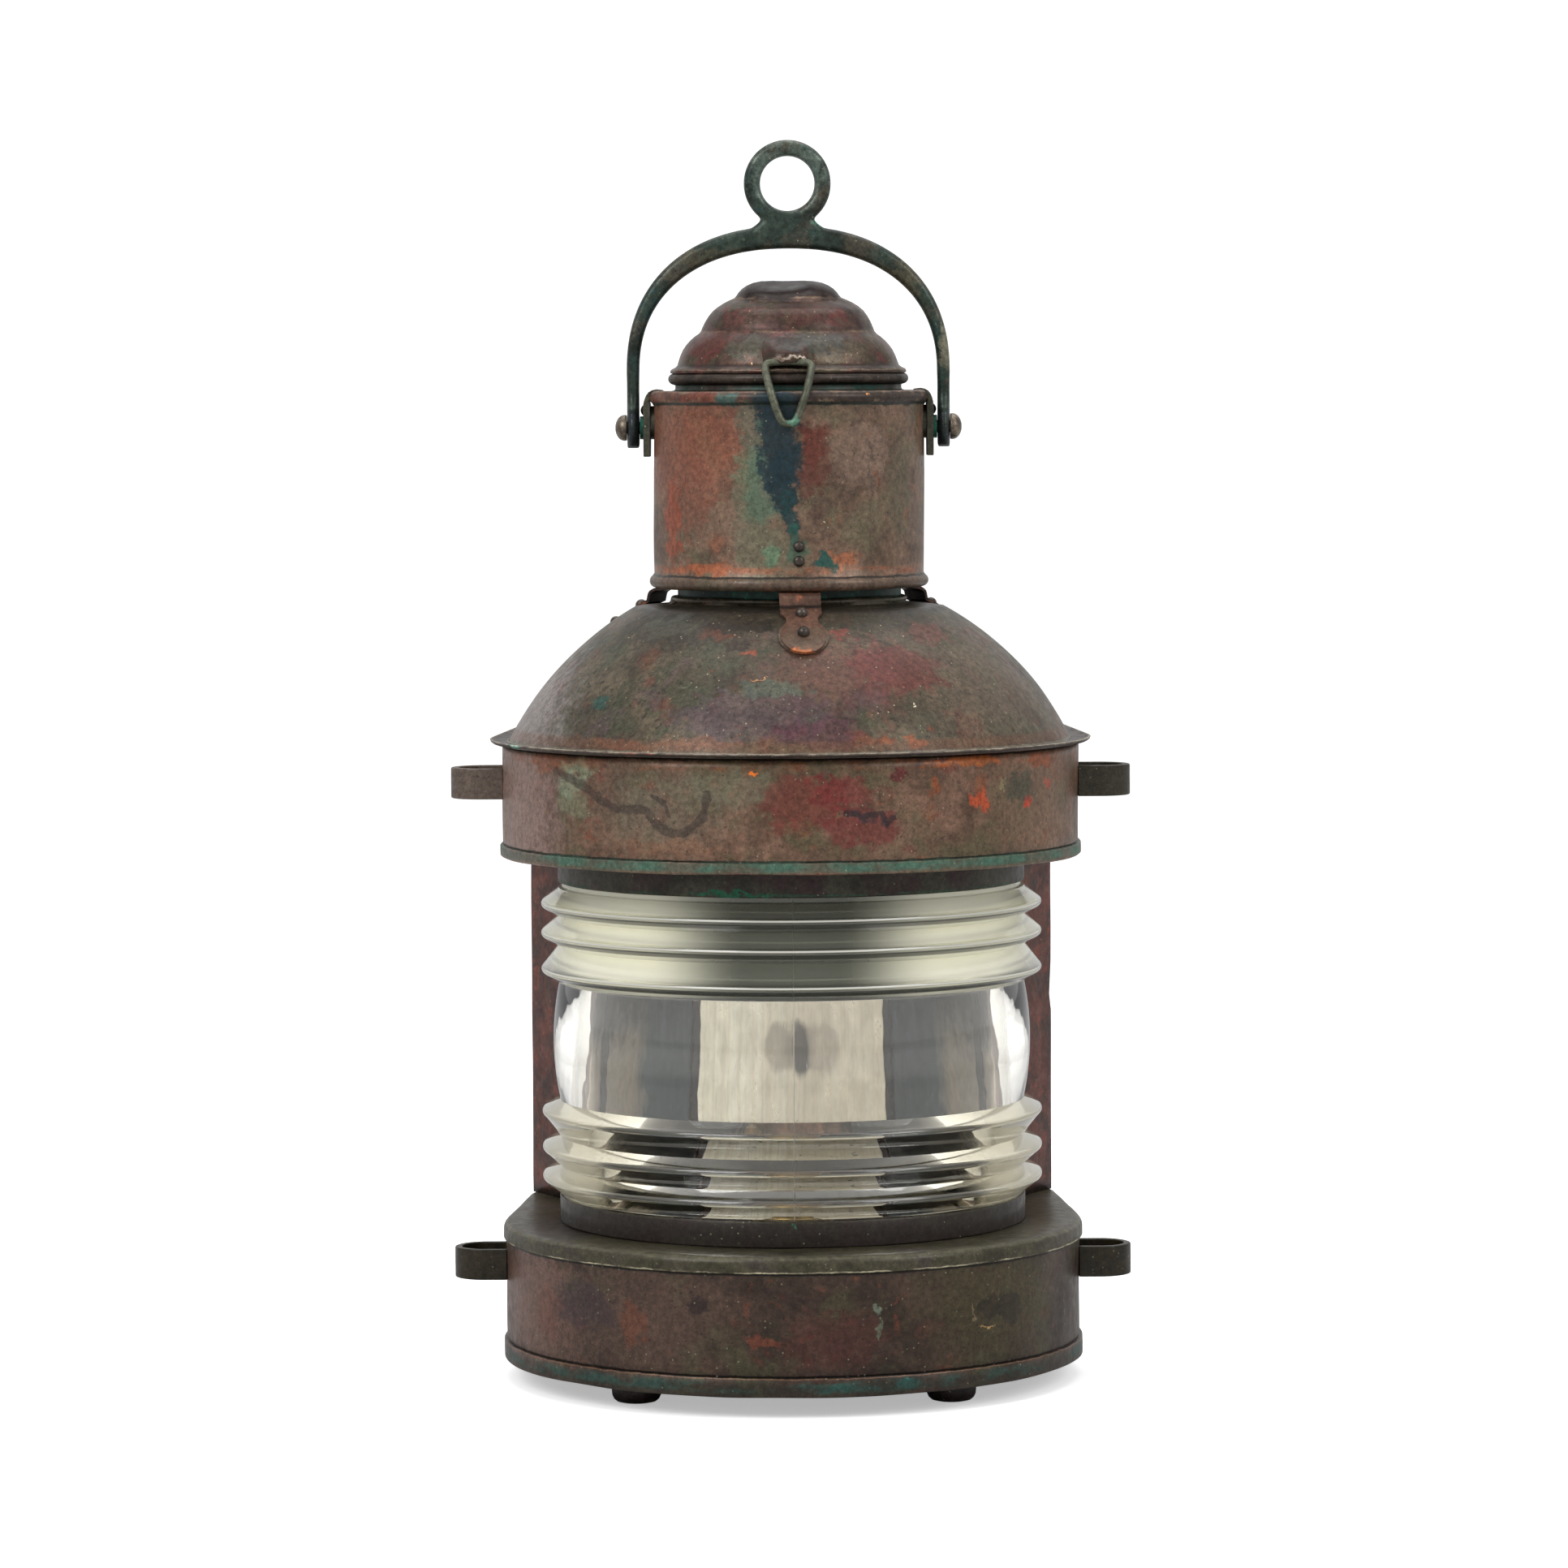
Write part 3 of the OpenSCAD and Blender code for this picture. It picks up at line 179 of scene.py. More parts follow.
def patina(name, ground, blooms=(), stripes=(), spots=(), trails=(), metal=0.35, rough=0.46,
           seed=0, specks="a9a78c", dust=0.5, grain=0.5, contrast=0.24):
    """An aged finish, in millimetres about the lens axis.

    ground is the main colour. A bloom is (colour, size, from, to, strength, stretch, crust):
    a cloud where noise of that size rises from one value to the other. A stripe is (colour,
    z, half height, strength, crust), a line round the piece. A spot is (colour, centre,
    radii, strength, crust), a mottled patch. A trail is (colour, half width, strength,
    points), an old stain. Crust is rough and no longer metallic.
    """
    made = bpy.data.materials.new(name)
    made.use_nodes = True
    tree = made.node_tree
    shader = tree.nodes["Principled BSDF"]
    shader.inputs["Specular IOR Level"].default_value = 0.1
    shader.inputs["Coat Weight"].default_value = 0.3
    shader.inputs["Coat Roughness"].default_value = 0.3

    def node(kind, inputs=(), **settings):
        new = tree.nodes.new(kind)
        for key, value in settings.items():
            setattr(new, key, value)
        for key, value in dict(inputs).items():
            if isinstance(value, bpy.types.NodeSocket):
                tree.links.new(value, new.inputs[key])
            else:
                new.inputs[key].default_value = value
        return new

    def math(kind, *values):
        return node("ShaderNodeMath", enumerate(values), operation=kind).outputs[0]

    def arrow(kind, *values):
        return node("ShaderNodeVectorMath", enumerate(values), operation=kind).outputs[0]

    def length(kind, *values):
        return node("ShaderNodeVectorMath", enumerate(values), operation=kind).outputs[1]

    def clouds(size, detail=6.0, stretch=(1, 1, 1), twist=0.0, out=0):
        put = node("ShaderNodeMapping", {0: place, "Location": (seed, seed * 2, -seed),
                                         "Scale": [1 / (size * s) for s in stretch]})
        return node("ShaderNodeTexNoise", {"Vector": put.outputs[0], "Scale": 1.0,
                                           "Detail": detail, "Roughness": 0.62,
                                           "Distortion": twist}).outputs[out]

    def rise(value, low, high, top=1.0, bottom=0.0):
        return node("ShaderNodeMapRange", {0: value, 1: low, 2: high, 3: bottom, 4: top},
                    interpolation_type="SMOOTHSTEP").outputs[0]

    def over(under, top, share):
        return node("ShaderNodeMix", {0: share, 6: under, 7: top}, data_type="RGBA").outputs[2]

    coords = node("ShaderNodeTexCoord").outputs["Object"]
    place = node("ShaderNodeMapping", {0: coords, "Location": (0, -AXIS_Y, 0),
                                       "Scale": (1000, 1000, 1000)}).outputs[0]
    wander = arrow("SUBTRACT", clouds(8, 8, out=1), (0.5, 0.5, 0.5))
    wild = min(1, contrast / 0.24)
    loose = arrow("MULTIPLY_ADD", wander, [16 * wild] * 3, place)
    paint = colour(ground)
    mottle = math("MULTIPLY_ADD", clouds(1.6, 5), 0.3 * wild,
                  math("MULTIPLY_ADD", clouds(6, 9), 0.9 * wild, 0.5 - 0.6 * wild))
    tone = over([c * (1 - 2 * contrast) for c in paint[:3]] + [1],
                [min(1, c * (1 + 1.6 * contrast)) for c in paint[:3]] + [1],
                rise(clouds(24, 8, twist=0.5), 0.3, 0.7))
    crust = 0.0
    for code, size, low, high, strength, *more in blooms:
        stretch = more[0] if more else (1, 1, 1)
        mask = rise(clouds(size, 9, stretch, twist=0.25), low, high, strength)
        tone = over(tone, colour(code), mask)
        if len(more) > 1:
            crust = math("MAXIMUM", crust, math("MULTIPLY", mask, more[1]))
    for code, centre, radii, strength, *more in spots:
        away = arrow("MULTIPLY_ADD", loose, [1 / r for r in radii],
                     [-c / r for c, r in zip(centre, radii)])
        far = math("MULTIPLY_ADD", mottle, 1.5, length("LENGTH", away))
        fade = 0.45 if wild == 1 and min(radii) > 20 else 0.19
        mask = rise(far, 1.53 + fade, 1.53 - fade, strength)
        tone = over(tone, colour(code), mask)
        if more:
            crust = math("MAXIMUM", crust, math("MULTIPLY", mask, more[0]))
    for code, half, strength, points in trails:
        near = 99.0
        course = arrow("MULTIPLY_ADD", wander, (5, 5, 5), place)
        for a, b in zip(points, points[1:]):
            a, b = Vector(a), Vector(b)
            off = arrow("SUBTRACT", course, a)
            part = math("MULTIPLY", length("DOT_PRODUCT", off, b - a), 1 / (b - a).length_squared)
            part.node.use_clamp = True
            step = node("ShaderNodeVectorMath", {0: b - a, 3: part}, operation="SCALE")
            near = math("MINIMUM", near, length("DISTANCE", off, step.outputs[0]))
        near = math("MULTIPLY_ADD", mottle, half * 2.4, near)
        tone = over(tone, colour(code), rise(near, half * 2.45, half * 1.95, strength))
    height = node("ShaderNodeSeparateXYZ", {0: arrow("MULTIPLY_ADD", wander, (2, 2, 2), place)})
    for code, z, half, strength, *more in stripes:
        near = math("ABSOLUTE", math("SUBTRACT", height.outputs[2], z))
        mask = rise(near, half, half * 0.3, strength)
        if more:
            mask = math("MULTIPLY", mask, rise(clouds(9, 7, (2.5, 2.5, 1)), 0.4, 0.6))
            crust = math("MAXIMUM", crust, math("MULTIPLY", mask, more[0]))
        tone = over(tone, colour(code), mask)
    rub = clouds(2.6, 8)
    vary = math("MULTIPLY", rise(rub, 0.3, 0.7, 1 + 1.2 * contrast, 1 - 1.1 * contrast),
                rise(clouds(0.9, 4), 0.25, 0.75, 1 + 0.7 * contrast, 1 - 0.7 * contrast))
    tone = node("ShaderNodeVectorMath", {0: tone, 3: vary}, operation="SCALE").outputs[0]
    pits = rise(clouds(1.7, 5), 0.42, 0.3, min(0.75, 3 * contrast))
    tone = over(tone, [c * 0.3 for c in paint[:3]] + [1], pits)
    cells = node("ShaderNodeTexVoronoi", {"Vector": place, "Scale": 1 / 2.6, "Randomness": 1.0})
    luck = node("ShaderNodeSeparateXYZ", {0: cells.outputs["Color"]}).outputs[0]
    dots = math("MULTIPLY", rise(cells.outputs["Distance"], 0.22, 0.1), rise(luck, 0.5, 0.95))
    dots = math("MULTIPLY", dots, rise(clouds(17, 7), 0.42, 0.62, dust))
    tone = over(tone, colour(specks), dots)
    tree.links.new(tone, shader.inputs["Base Color"])
    tree.links.new(math("MULTIPLY", math("SUBTRACT", 1.0, crust), metal),
                   shader.inputs["Metallic"])
    dull = rise(clouds(6, 7), 0.3, 0.7, rough + 0.1, rough - 0.1)
    tree.links.new(math("MULTIPLY_ADD", crust, 0.3, dull), shader.inputs["Roughness"])
    relief = math("MULTIPLY_ADD", crust, 0.5, math("MULTIPLY_ADD", pits, -0.5, rub))
    wave = node("ShaderNodeBump", {"Height": clouds(14, 3), "Strength": 0.3 * wild ** 2,
                                   "Distance": 0.001})
    bump = node("ShaderNodeBump", {"Height": relief, "Strength": grain, "Distance": 0.0003,
                                   "Normal": wave.outputs[0]})
    tree.links.new(bump.outputs[0], shader.inputs["Normal"])
    return made


base_copper = patina(
    "base_copper", "3e3028", seed=3,
    blooms=[("2f2623", 18, 0.5, 0.66, 0.7), ("45422f", 30, 0.48, 0.66, 0.8),
            ("6a3827", 9, 0.6, 0.72, 0.6), ("552c26", 18, 0.57, 0.7, 0.6), ("7a4a30", 2.6, 0.66, 0.76, 0.5),
            ("3f5248", 7, 0.66, 0.77, 0.5, (1, 1, 1), 0.7)],
    stripes=[("1a1512", 20.3, 0.9, 0.9), ("1d1917", 69.3, 1.2, 0.9), ("7b5a44", 19.4, 0.4, 0.5),
             ("2c2a23", 13.5, 6, 0.6), ("24514b", 15.5, 4, 0.5, 0.7)],
    spots=[("6f5349", (-124, -60, 46), (34, 70, 40), 0.75), ("5e4a40", (-70, -120, 48), (50, 40, 40), 0.5),
           ("352a30", (-102, -99, 49), (24, 26, 15), 0.6), ("453e2a", (95, -104, 50), (52, 50, 34), 0.7),
           ("6b3c2b", (-77, -119, 43), (9, 12, 13), 0.5), ("633a2e", (-119, -77, 42), (12, 14, 16), 0.45),
           ("78402e", (-15, -141, 38), (9, 8, 3.2), 0.55), ("2a2121", (-45, -135, 54), (9, 8, 5), 0.75),
           ("4e2a25", (22, -140, 38), (34, 14, 18), 0.45), ("70786a", (40.5, -136, 53), (3.2, 6, 3.2), 0.7),
           ("66705f", (40.4, -136, 42), (1.8, 6, 7), 0.6), ("2a241d", (94, -107, 47), (10, 14, 9), 0.7), ("2a241d", (104, -98, 47), (10, 14, 9), 0.7),
           ("b08a5c", (93, -107, 37.5), (6, 8, 0.5), 0.8), ("8d7a5d", (85, -114, 47), (0.5, 4, 8), 0.6),
           ("24524c", (54.7, -131, 15.2), (7, 9, 4), 0.9, 0.7), ("235048", (19, -141, 15), (11, 9, 3), 0.6, 0.7)])

wall_levels = [(BAND - 0.7, Z_RIM), (BAND, Z_RIM + 0.5), (BAND + 0.05, 15), (BAND, 19.3),
               (BAND - 0.35, 19.8), (-0.3, 20.1), (-0.05, 20.7), (0, Z_SILL)]
wall_levels += [(0, Z_SILL + (73.8 - Z_SILL) * i / 8) for i in range(1, 9)]
pan = body_wall(wall_levels)
faces_out(pan)
cut = [f for f in pan.faces if f.calc_center_median().y > BACK_Y - 2
       and abs(f.calc_center_median().x) < DOOR_OPEN and f.calc_center_median().z > Z_SILL]
bmesh.ops.delete(pan, geom=cut, context="FACES")
for v in pan.verts:
    if v.co.z > 73.7 and v.co.y > BACK_Y - 1 and -95 < v.co.x < 68:
        v.co.z = 77.9 if -85 < v.co.x < 60 else 75.6
dent(pan, 0.45, 34, 2)
piece("base_pan_wall", pan, base_copper, "lantern", ["base_pan"], sheet=SHEET)

floor_level = (-SHEET, Z_FLOOR + SHEET)
pan_floor = bmesh.new()
ring(pan_floor, len(PLAN), floor_level, on_plan)
for i in range(8):
    turn = Matrix.Rotation(radians(22.5 + 45 * i), 4, "Z")
    hole = turn @ Matrix.Translation((62, 0, floor_level[1]))
    bmesh.ops.create_circle(pan_floor, segments=24, radius=5, matrix=hole)
bmesh.ops.triangle_fill(pan_floor, edges=pan_floor.edges, use_beauty=True)
faces_out(pan_floor)
piece("base_pan_floor", pan_floor, base_copper, "lantern", sheet=SHEET)


# Base cover
# The cover is pressed from one sheet: a skirt that laps over the wall of the pan, a rounded
# shoulder and a flat top with a round well for the oil lamp, open at the back where the lamp
# slides in. It is soldered round the edge of its skirt.
Z_SKIRT = 69.5
Z_BASE = 78
SHOULDER_R = 4
WELL_R = 60
WELL_HALF_W = 50

cover_copper = patina(
    "cover_copper", "423e2f", seed=11,
    blooms=[("3a3330", 24, 0.5, 0.66, 0.8), ("57543f", 9, 0.55, 0.7, 0.5, (3, 3, 1)),
            ("5d4036", 15, 0.64, 0.76, 0.5), ("4c5d50", 10, 0.66, 0.78, 0.5, (1, 1, 1), 0.6)],
    stripes=[("b0a88e", 70.1, 0.55, 0.85, 0.3), ("625f4d", 76.9, 1.0, 0.5)],
    spots=[("332c2e", (-112, -40, 78), (24, 60, 6), 0.7), ("2b2523", (-95, 30, 78), (20, 30, 5), 0.8)])

levels = [(BAND - 0.3, Z_SKIRT), (BAND, Z_SKIRT + 0.4), (BAND, Z_BASE - SHOULDER_R)]
levels += [(BAND - SHOULDER_R * (1 - cos(a)), Z_BASE - SHOULDER_R + SHOULDER_R * sin(a))
           for a in [radians(15 * i) for i in range(1, 7)]]
cover = bmesh.new()
number, edges = ring(cover, len(PLAN), levels[0], on_plan)
top_edge = loft(cover, edges, number, levels[1:], on_plan)
cut = [f for f in cover.faces if f.calc_center_median().y > BACK_Y - 3
       and -94 < f.calc_center_median().x < 67]
bmesh.ops.delete(cover, geom=cut, context="FACES")
rim = [e for e in cover.edges if all(abs(v.co.z - Z_BASE) < 1e-4 for v in e.verts)]
ends = [v for v in {v for e in rim for v in e.verts} if v.co.y > BACK_Y - 3
        and sum(e in rim for e in v.link_edges) == 1]
ends.sort(key=lambda v: v.co.x)
mouth = asin(WELL_HALF_W / WELL_R)
well = [(-WELL_HALF_W, ends[0].co.y)] + [
    (WELL_R * cos(a), WELL_R * sin(a)) for a in
    [pi - (pi / 2 - mouth) + (pi + 2 * (pi / 2 - mouth)) * i / 60 for i in range(61)]] + [
    (WELL_HALF_W, ends[-1].co.y)]
line = [ends[0]] + [cover.verts.new((x, y, Z_BASE)) for x, y in well] + [ends[-1]]
for pair in zip(line, line[1:]):
    cover.edges.new(pair)
edge_of_top = rim + [e for e in cover.edges if not e.link_faces and e not in rim]
bmesh.ops.triangle_fill(cover, edges=edge_of_top, use_beauty=True)
faces_out(cover)
dent(cover, 0.3, 30, 5)
piece("base_cover_plate", cover, cover_copper, "lantern", ["base_cover"],
      sheet=SHEET)


# Feet
# Four turned feet of copper, soldered to the floor of the pan.
FOOT_AT = [(-76, -86), (76, -86), (-76, 72), (76, 72)]
FOOT_OUTLINE = [(0, 0), (7.5, 0), (9.6, 0.5), (11, 1.7), (11.8, 3.4), (12, 5.2), (12, 8.5),
                (11.4, 10), (10.2, 11.4), (0, 11.4)]


def turned(bm, outline, span=360, steps=180, first=0.0, closed=False):
    """Spins an outline of (radius, height) about the lens axis, from the angle first."""
    verts = [bm.verts.new((r * cos(radians(first)), r * sin(radians(first)), z))
             for r, z in outline]
    pairs = list(zip(verts, verts[1:])) + ([(verts[-1], verts[0])] if closed else [])
    edges = [bm.edges.new(pair) for pair in pairs]
    bmesh.ops.spin(bm, geom=verts + edges, cent=(0, 0, 0), axis=(0, 0, 1), dvec=(0, 0, 0),
                   angle=radians(span), steps=steps, use_merge=span == 360)
    bmesh.ops.remove_doubles(bm, verts=bm.verts, dist=0.001)


foot_copper = patina("foot_copper", "2e2624", seed=5,
                     blooms=[("3f3a2e", 8, 0.5, 0.7, 0.6), ("1d2a26", 6, 0.6, 0.75, 0.6)])
feet = bmesh.new()
for x, y in FOOT_AT:
    foot = bmesh.new()
    turned(foot, FOOT_OUTLINE, steps=48)
    faces_out(foot, (0, 0, 5))
    bmesh.ops.translate(foot, vec=(x, y, 0), verts=foot.verts)
    spare = bpy.data.meshes.new("spare")
    foot.to_mesh(spare)
    foot.free()
    feet.from_mesh(spare)
    bpy.data.meshes.remove(spare)
piece("turned_feet", feet, foot_copper, "lantern", ["feet"])


# Lens collars
# Two rings of sheet copper, angled in section, that hold the lens at its foot and its head
# and leave it open at the back. The lower one stands on the cover, the upper one hangs in
# the drum.
LENS_ARC = 225
COLLAR_R = 115.2
COLLAR_H = 13
Z_DRUM = 259
SEAT_R = 110

collar_copper = patina(
    "collar_copper", "3d3a30", seed=21,
    blooms=[("3a2a2b", 22, 0.48, 0.62, 0.85), ("4d4a3c", 12, 0.55, 0.7, 0.5),
            ("5a2f2c", 14, 0.64, 0.76, 0.5), ("2f5c4a", 9, 0.7, 0.8, 0.5, (1, 1, 1), 0.8)],
    stripes=[("275c46", 247.0, 0.9, 0.5, 0.9), ("16130f", 78.4, 0.8, 0.9),
             ("6c6c58", 90.4, 0.7, 0.4), ("251e1b", 84.5, 14, 0.8)],
    spots=[("4fae7a", (0, -115.2, 88), (1.3, 3, 2), 0.95, 0.9),
           ("1d6a4a", (-30, -111, 247.6), (30, 14, 1.6), 0.8, 0.9)])

for low, node_name in ((True, "lower_collar"), (False, "upper_collar")):
    z0 = Z_BASE if low else Z_DRUM - COLLAR_H
    z1 = z0 + COLLAR_H
    bend = [(SEAT_R, z0), (COLLAR_R - 0.5, z0), (COLLAR_R, z0 + 0.5), (COLLAR_R, z0 + 6),
            (COLLAR_R, z1 - 0.5), (COLLAR_R - 0.3, z1)] if low else [
        (COLLAR_R - 0.3, z0), (COLLAR_R, z0 + 0.4), (COLLAR_R, z0 + 7), (COLLAR_R, z1 + 0.5),
        (COLLAR_R - 0.5, z1 + 1), (SEAT_R, z1 + 1)]
    collar = bmesh.new()
    span = LENS_ARC + 0.6
    turned(collar, bend, span=span, steps=150, first=-90 - span / 2)
    faces_out(collar, (0, 0, (z0 + z1) / 2))
    dent(collar, 0.15, 25, 7)
    piece(node_name + "_ring", collar, collar_copper, "lantern", [node_name],
          sheet=SHEET)


# Lens
# A pressed glass lens of 225 degrees: a plain inner face, a belly in the middle and three
# ribs above and below it, each steep on the side towards the belly. Its sharp edges are
# softened by the fire, and a mould line runs down its front.
Z_LENS = 167.5
LENS_INNER_R = 108
GROOVE_R = 115
RIB_TIP_R = 123.6
BELLY_R = 118
RIB_ROUND = 2.2
RIBS = [(29.1, 35.3, 47.1), (47.1, 53, 61.8), (61.8, 67.5, 75.6)]
LENS_HALF_H = 82.5
LENS_EDGE_R = 113.35


def half_lens(side):
    """Outline of the outer face, from the belly over the three ribs to one edge."""
    out = [(BELLY_R - (BELLY_R - GROOVE_R) * (i / 10) ** 2, side * RIBS[0][0] * i / 10)
           for i in range(10)]
    for near, tip, far in RIBS:
        out.append((GROOVE_R, side * near))
        for a in range(-58, 51, 12):
            out.append((RIB_TIP_R - RIB_ROUND + RIB_ROUND * cos(radians(a)),
                        side * (tip + RIB_ROUND * sin(radians(a)))))
        out.append((GROOVE_R + 0.5, side * (far - 0.8)))
    out.append((GROOVE_R, side * RIBS[-1][2]))
    return out + [(LENS_EDGE_R, side * (RIBS[-1][2] + 0.6)), (LENS_EDGE_R, side * LENS_HALF_H)]


def clear_glass(name):
    """Pressed glass: bends light, lets the lamps through, and is a little uneven; its ribs carry painted light and
    shade.
    """
    made = bpy.data.materials.new(name)
    made.use_nodes = True
    tree = made.node_tree
    shader = tree.nodes["Principled BSDF"]
    shader.inputs["IOR"].default_value = 1.5
    shader.inputs["Coat Weight"].default_value = 0.4
    shader.inputs["Coat Roughness"].default_value = 0.04
    coords = tree.nodes.new("ShaderNodeTexCoord")
    put = tree.nodes.new("ShaderNodeMapping")
    put.inputs["Scale"].default_value = (1000, 1000, 1000)
    tree.links.new(coords.outputs["Object"], put.inputs[0])
    waves = tree.nodes.new("ShaderNodeTexNoise")
    waves.inputs["Scale"].default_value = 1 / 26
    waves.inputs["Detail"].default_value = 2
    tree.links.new(put.outputs[0], waves.inputs["Vector"])
    bump = tree.nodes.new("ShaderNodeBump")
    bump.inputs["Strength"].default_value = 0.25
    bump.inputs["Distance"].default_value = 0.0006
    tree.links.new(waves.outputs[0], bump.inputs["Height"])
    tree.links.new(bump.outputs[0], shader.inputs["Normal"])
    across = tree.nodes.new("ShaderNodeSeparateXYZ")
    tree.links.new(put.outputs[0], across.inputs[0])

    def between(value, low, high, bottom, top):
        ramp = tree.nodes.new("ShaderNodeMapRange")
        ramp.interpolation_type = "SMOOTHSTEP"
        for i, number in ((1, low), (2, high), (3, bottom), (4, top)):
            ramp.inputs[i].default_value = number
        tree.links.new(value, ramp.inputs[0])
        return ramp.outputs[0]

    def sum_of(kind, a, b):
        made = tree.nodes.new("ShaderNodeMath")
        made.operation = kind
        for i, value in enumerate((a, b)):
            if isinstance(value, bpy.types.NodeSocket):
                tree.links.new(value, made.inputs[i])
            else:
                made.inputs[i].default_value = value
        return made.outputs[0]

    def blend(share, a, b):
        made = tree.nodes.new("ShaderNodeMix")
        made.data_type = "RGBA"
        tree.links.new(share, made.inputs[0])
        for i, value in ((6, a), (7, b)):
            if isinstance(value, bpy.types.NodeSocket):
                tree.links.new(value, made.inputs[i])
            else:
                made.inputs[i].default_value = value
        return made.outputs[2]

    head = between(across.outputs[2], 195.5, 199.5, 0, 1)
    wide = sum_of("ABSOLUTE", across.outputs[0], 0)
    flat = tree.nodes.new("ShaderNodeVectorMath")
    flat.operation = "MULTIPLY_ADD"
    flat.inputs[1].default_value = (1, 1, 0)
    flat.inputs[2].default_value = (0, -AXIS_Y, 0)
    tree.links.new(put.outputs[0], flat.inputs[0])
    radius = tree.nodes.new("ShaderNodeVectorMath")
    radius.operation = "LENGTH"
    tree.links.new(flat.outputs[0], radius.inputs[0])
    out = radius.outputs["Value"]
    # The upper ribs carry painted light: a share of them is made opaque and coloured like the view through them, dark
    # in the middle and cream at the sides.
    painted_light_share = sum_of("MULTIPLY", between(wide, 96, 116, 1, 0.5), between(wide, 20, 66, 0.45, 0.8))
    painted_light_share = sum_of("MULTIPLY", painted_light_share, between(out, 121.6, 123.4, 1, 0.3))
    painted_light_colour = blend(between(wide, 22, 74, 0, 1), (0.18, 0.185, 0.15, 1), (0.87, 0.855, 0.69, 1))
    # Under each rib tip a dark band is painted shade, and along the tip a pale line is a painted highlight.
    for _, tip, _ in RIBS:
        off = sum_of("SUBTRACT", across.outputs[2], Z_LENS + tip)
        under = between(sum_of("ABSOLUTE", sum_of("ADD", off, 2.2), 0), 1.0, 1.7, 1, 0)
        edge = between(sum_of("ABSOLUTE", sum_of("SUBTRACT", off, 0.5), 0), 0.3, 0.7, 1, 0)
        painted_light_share = sum_of("MAXIMUM", painted_light_share, sum_of("MULTIPLY", under, 0.8))
        painted_light_share = sum_of("MAXIMUM", painted_light_share, sum_of("MULTIPLY", edge, 0.7))
        painted_light_colour = blend(under, painted_light_colour, (0.05, 0.05, 0.04, 1))
        painted_light_colour = blend(edge, painted_light_colour, (0.75, 0.74, 0.66, 1))
    # The lower ribs carry painted light and shade: a darker warm tint at their sides is painted shade, and a pale
    # cream film at their ends is painted light.
    foot = between(across.outputs[2], 138, 139, 1, 0)
    painted_end_light = sum_of("MULTIPLY", foot, between(wide, 84, 102, 0, 0.28))
    painted_light_share = sum_of("MAXIMUM", sum_of("MULTIPLY", head, painted_light_share), painted_end_light)
    tree.links.new(sum_of("SUBTRACT", 1, painted_light_share), shader.inputs["Transmission Weight"])
    painted_side_shade = sum_of("MULTIPLY", between(wide, 52, 84, 0, 1), foot)
    body = blend(painted_side_shade, (0.985, 0.977, 0.93, 1), (0.74, 0.70, 0.57, 1))
    body = blend(painted_end_light, body, (0.62, 0.60, 0.46, 1))
    tree.links.new(blend(head, body, painted_light_colour), shader.inputs["Base Color"])
    seam = between(sum_of("ABSOLUTE", sum_of("SUBTRACT", across.outputs[0], 0.8), 0), 0.15, 0.32,
                   0.4, 0.015)
    tree.links.new(sum_of("MAXIMUM", seam, sum_of("MULTIPLY", head, 0.16)),
                   shader.inputs["Roughness"])
    through = tree.nodes.new("ShaderNodeBsdfTransparent")
    through.inputs["Color"].default_value = (0.99, 0.985, 0.97, 1)
    rays = tree.nodes.new("ShaderNodeLightPath")
    both = tree.nodes.new("ShaderNodeMixShader")
    tree.links.new(rays.outputs["Is Shadow Ray"], both.inputs[0])
    tree.links.new(shader.outputs[0], both.inputs[1])
    tree.links.new(through.outputs[0], both.inputs[2])
    tree.links.new(both.outputs[0], tree.nodes["Material Output"].inputs["Surface"])
    return made


lens_glass = clear_glass("lens_glass")
upper, lower = half_lens(1), half_lens(-1)
section = [(r, Z_LENS + z) for r, z in
           [(LENS_INNER_R, -LENS_HALF_H), (LENS_INNER_R, LENS_HALF_H)]
           + upper[::-1] + lower[1:]]
lens = bmesh.new()
turned(lens, section, span=LENS_ARC, steps=180, first=-90 - LENS_ARC / 2, closed=True)
bmesh.ops.holes_fill(lens, edges=[e for e in lens.edges if e.is_boundary], sides=0)
faces_out(lens, (0, -111, Z_LENS))
bmesh.ops.recalc_face_normals(lens, faces=lens.faces)
piece("ribbed_lens", lens, lens_glass, "lantern", ["lens"])


# Posts, back casing and screens
# Two copper posts stand at the ends of the lens. The back of the body is one sheet, folded
# from post to post round two square corners and cut out for the door, with a bright tinned
# screen inside each corner.
Z_LINTEL = 245
WING = (107.4, 51.8)


def eased(node_name, name, material, body, width):
    """A plain piece of the frame with its edges broken with a file."""
    bm = bmesh.new()
    bm.from_mesh(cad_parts[node_name].data)
    bmesh.ops.remove_doubles(bm, verts=bm.verts, dist=1e-6)
    bmesh.ops.dissolve_limit(bm, angle_limit=radians(1), verts=bm.verts, edges=bm.edges)
    mesh = bpy.data.meshes.new(name)
    bm.to_mesh(mesh)
    bm.free()
    return placed(name, mesh, material, body, [node_name], 0, width)


def sheet_along(bm, columns, rows, spot):
    """A sheet of columns by rows; spot gives the place of each point by its numbers."""
    made = bmesh.ops.create_grid(bm, x_segments=columns, y_segments=rows, size=1)["verts"]
    for v in made:
        i = round((v.co.x + 1) / 2 * columns)
        j = round((v.co.y + 1) / 2 * rows)
        v.co = spot(i, j)


def bent(points, radius, steps=5):
    """A line of points with its corners rounded."""
    line = [Vector(points[0])]
    for before, here, after in zip(points, points[1:], points[2:]):
        here = Vector(here)
        a, b = (Vector(before) - here).normalized(), (Vector(after) - here).normalized()
        for i in range(steps + 1):
            t = i / steps
            line.append((1 - t) ** 2 * (here + a * radius) + 2 * t * (1 - t) * here
                        + t * t * (here + b * radius))
    return line + [Vector(points[-1])]


for side in ("left", "right"):
    eased(side + "_post", side + "_lens_post", collar_copper, "lantern", 0.4)

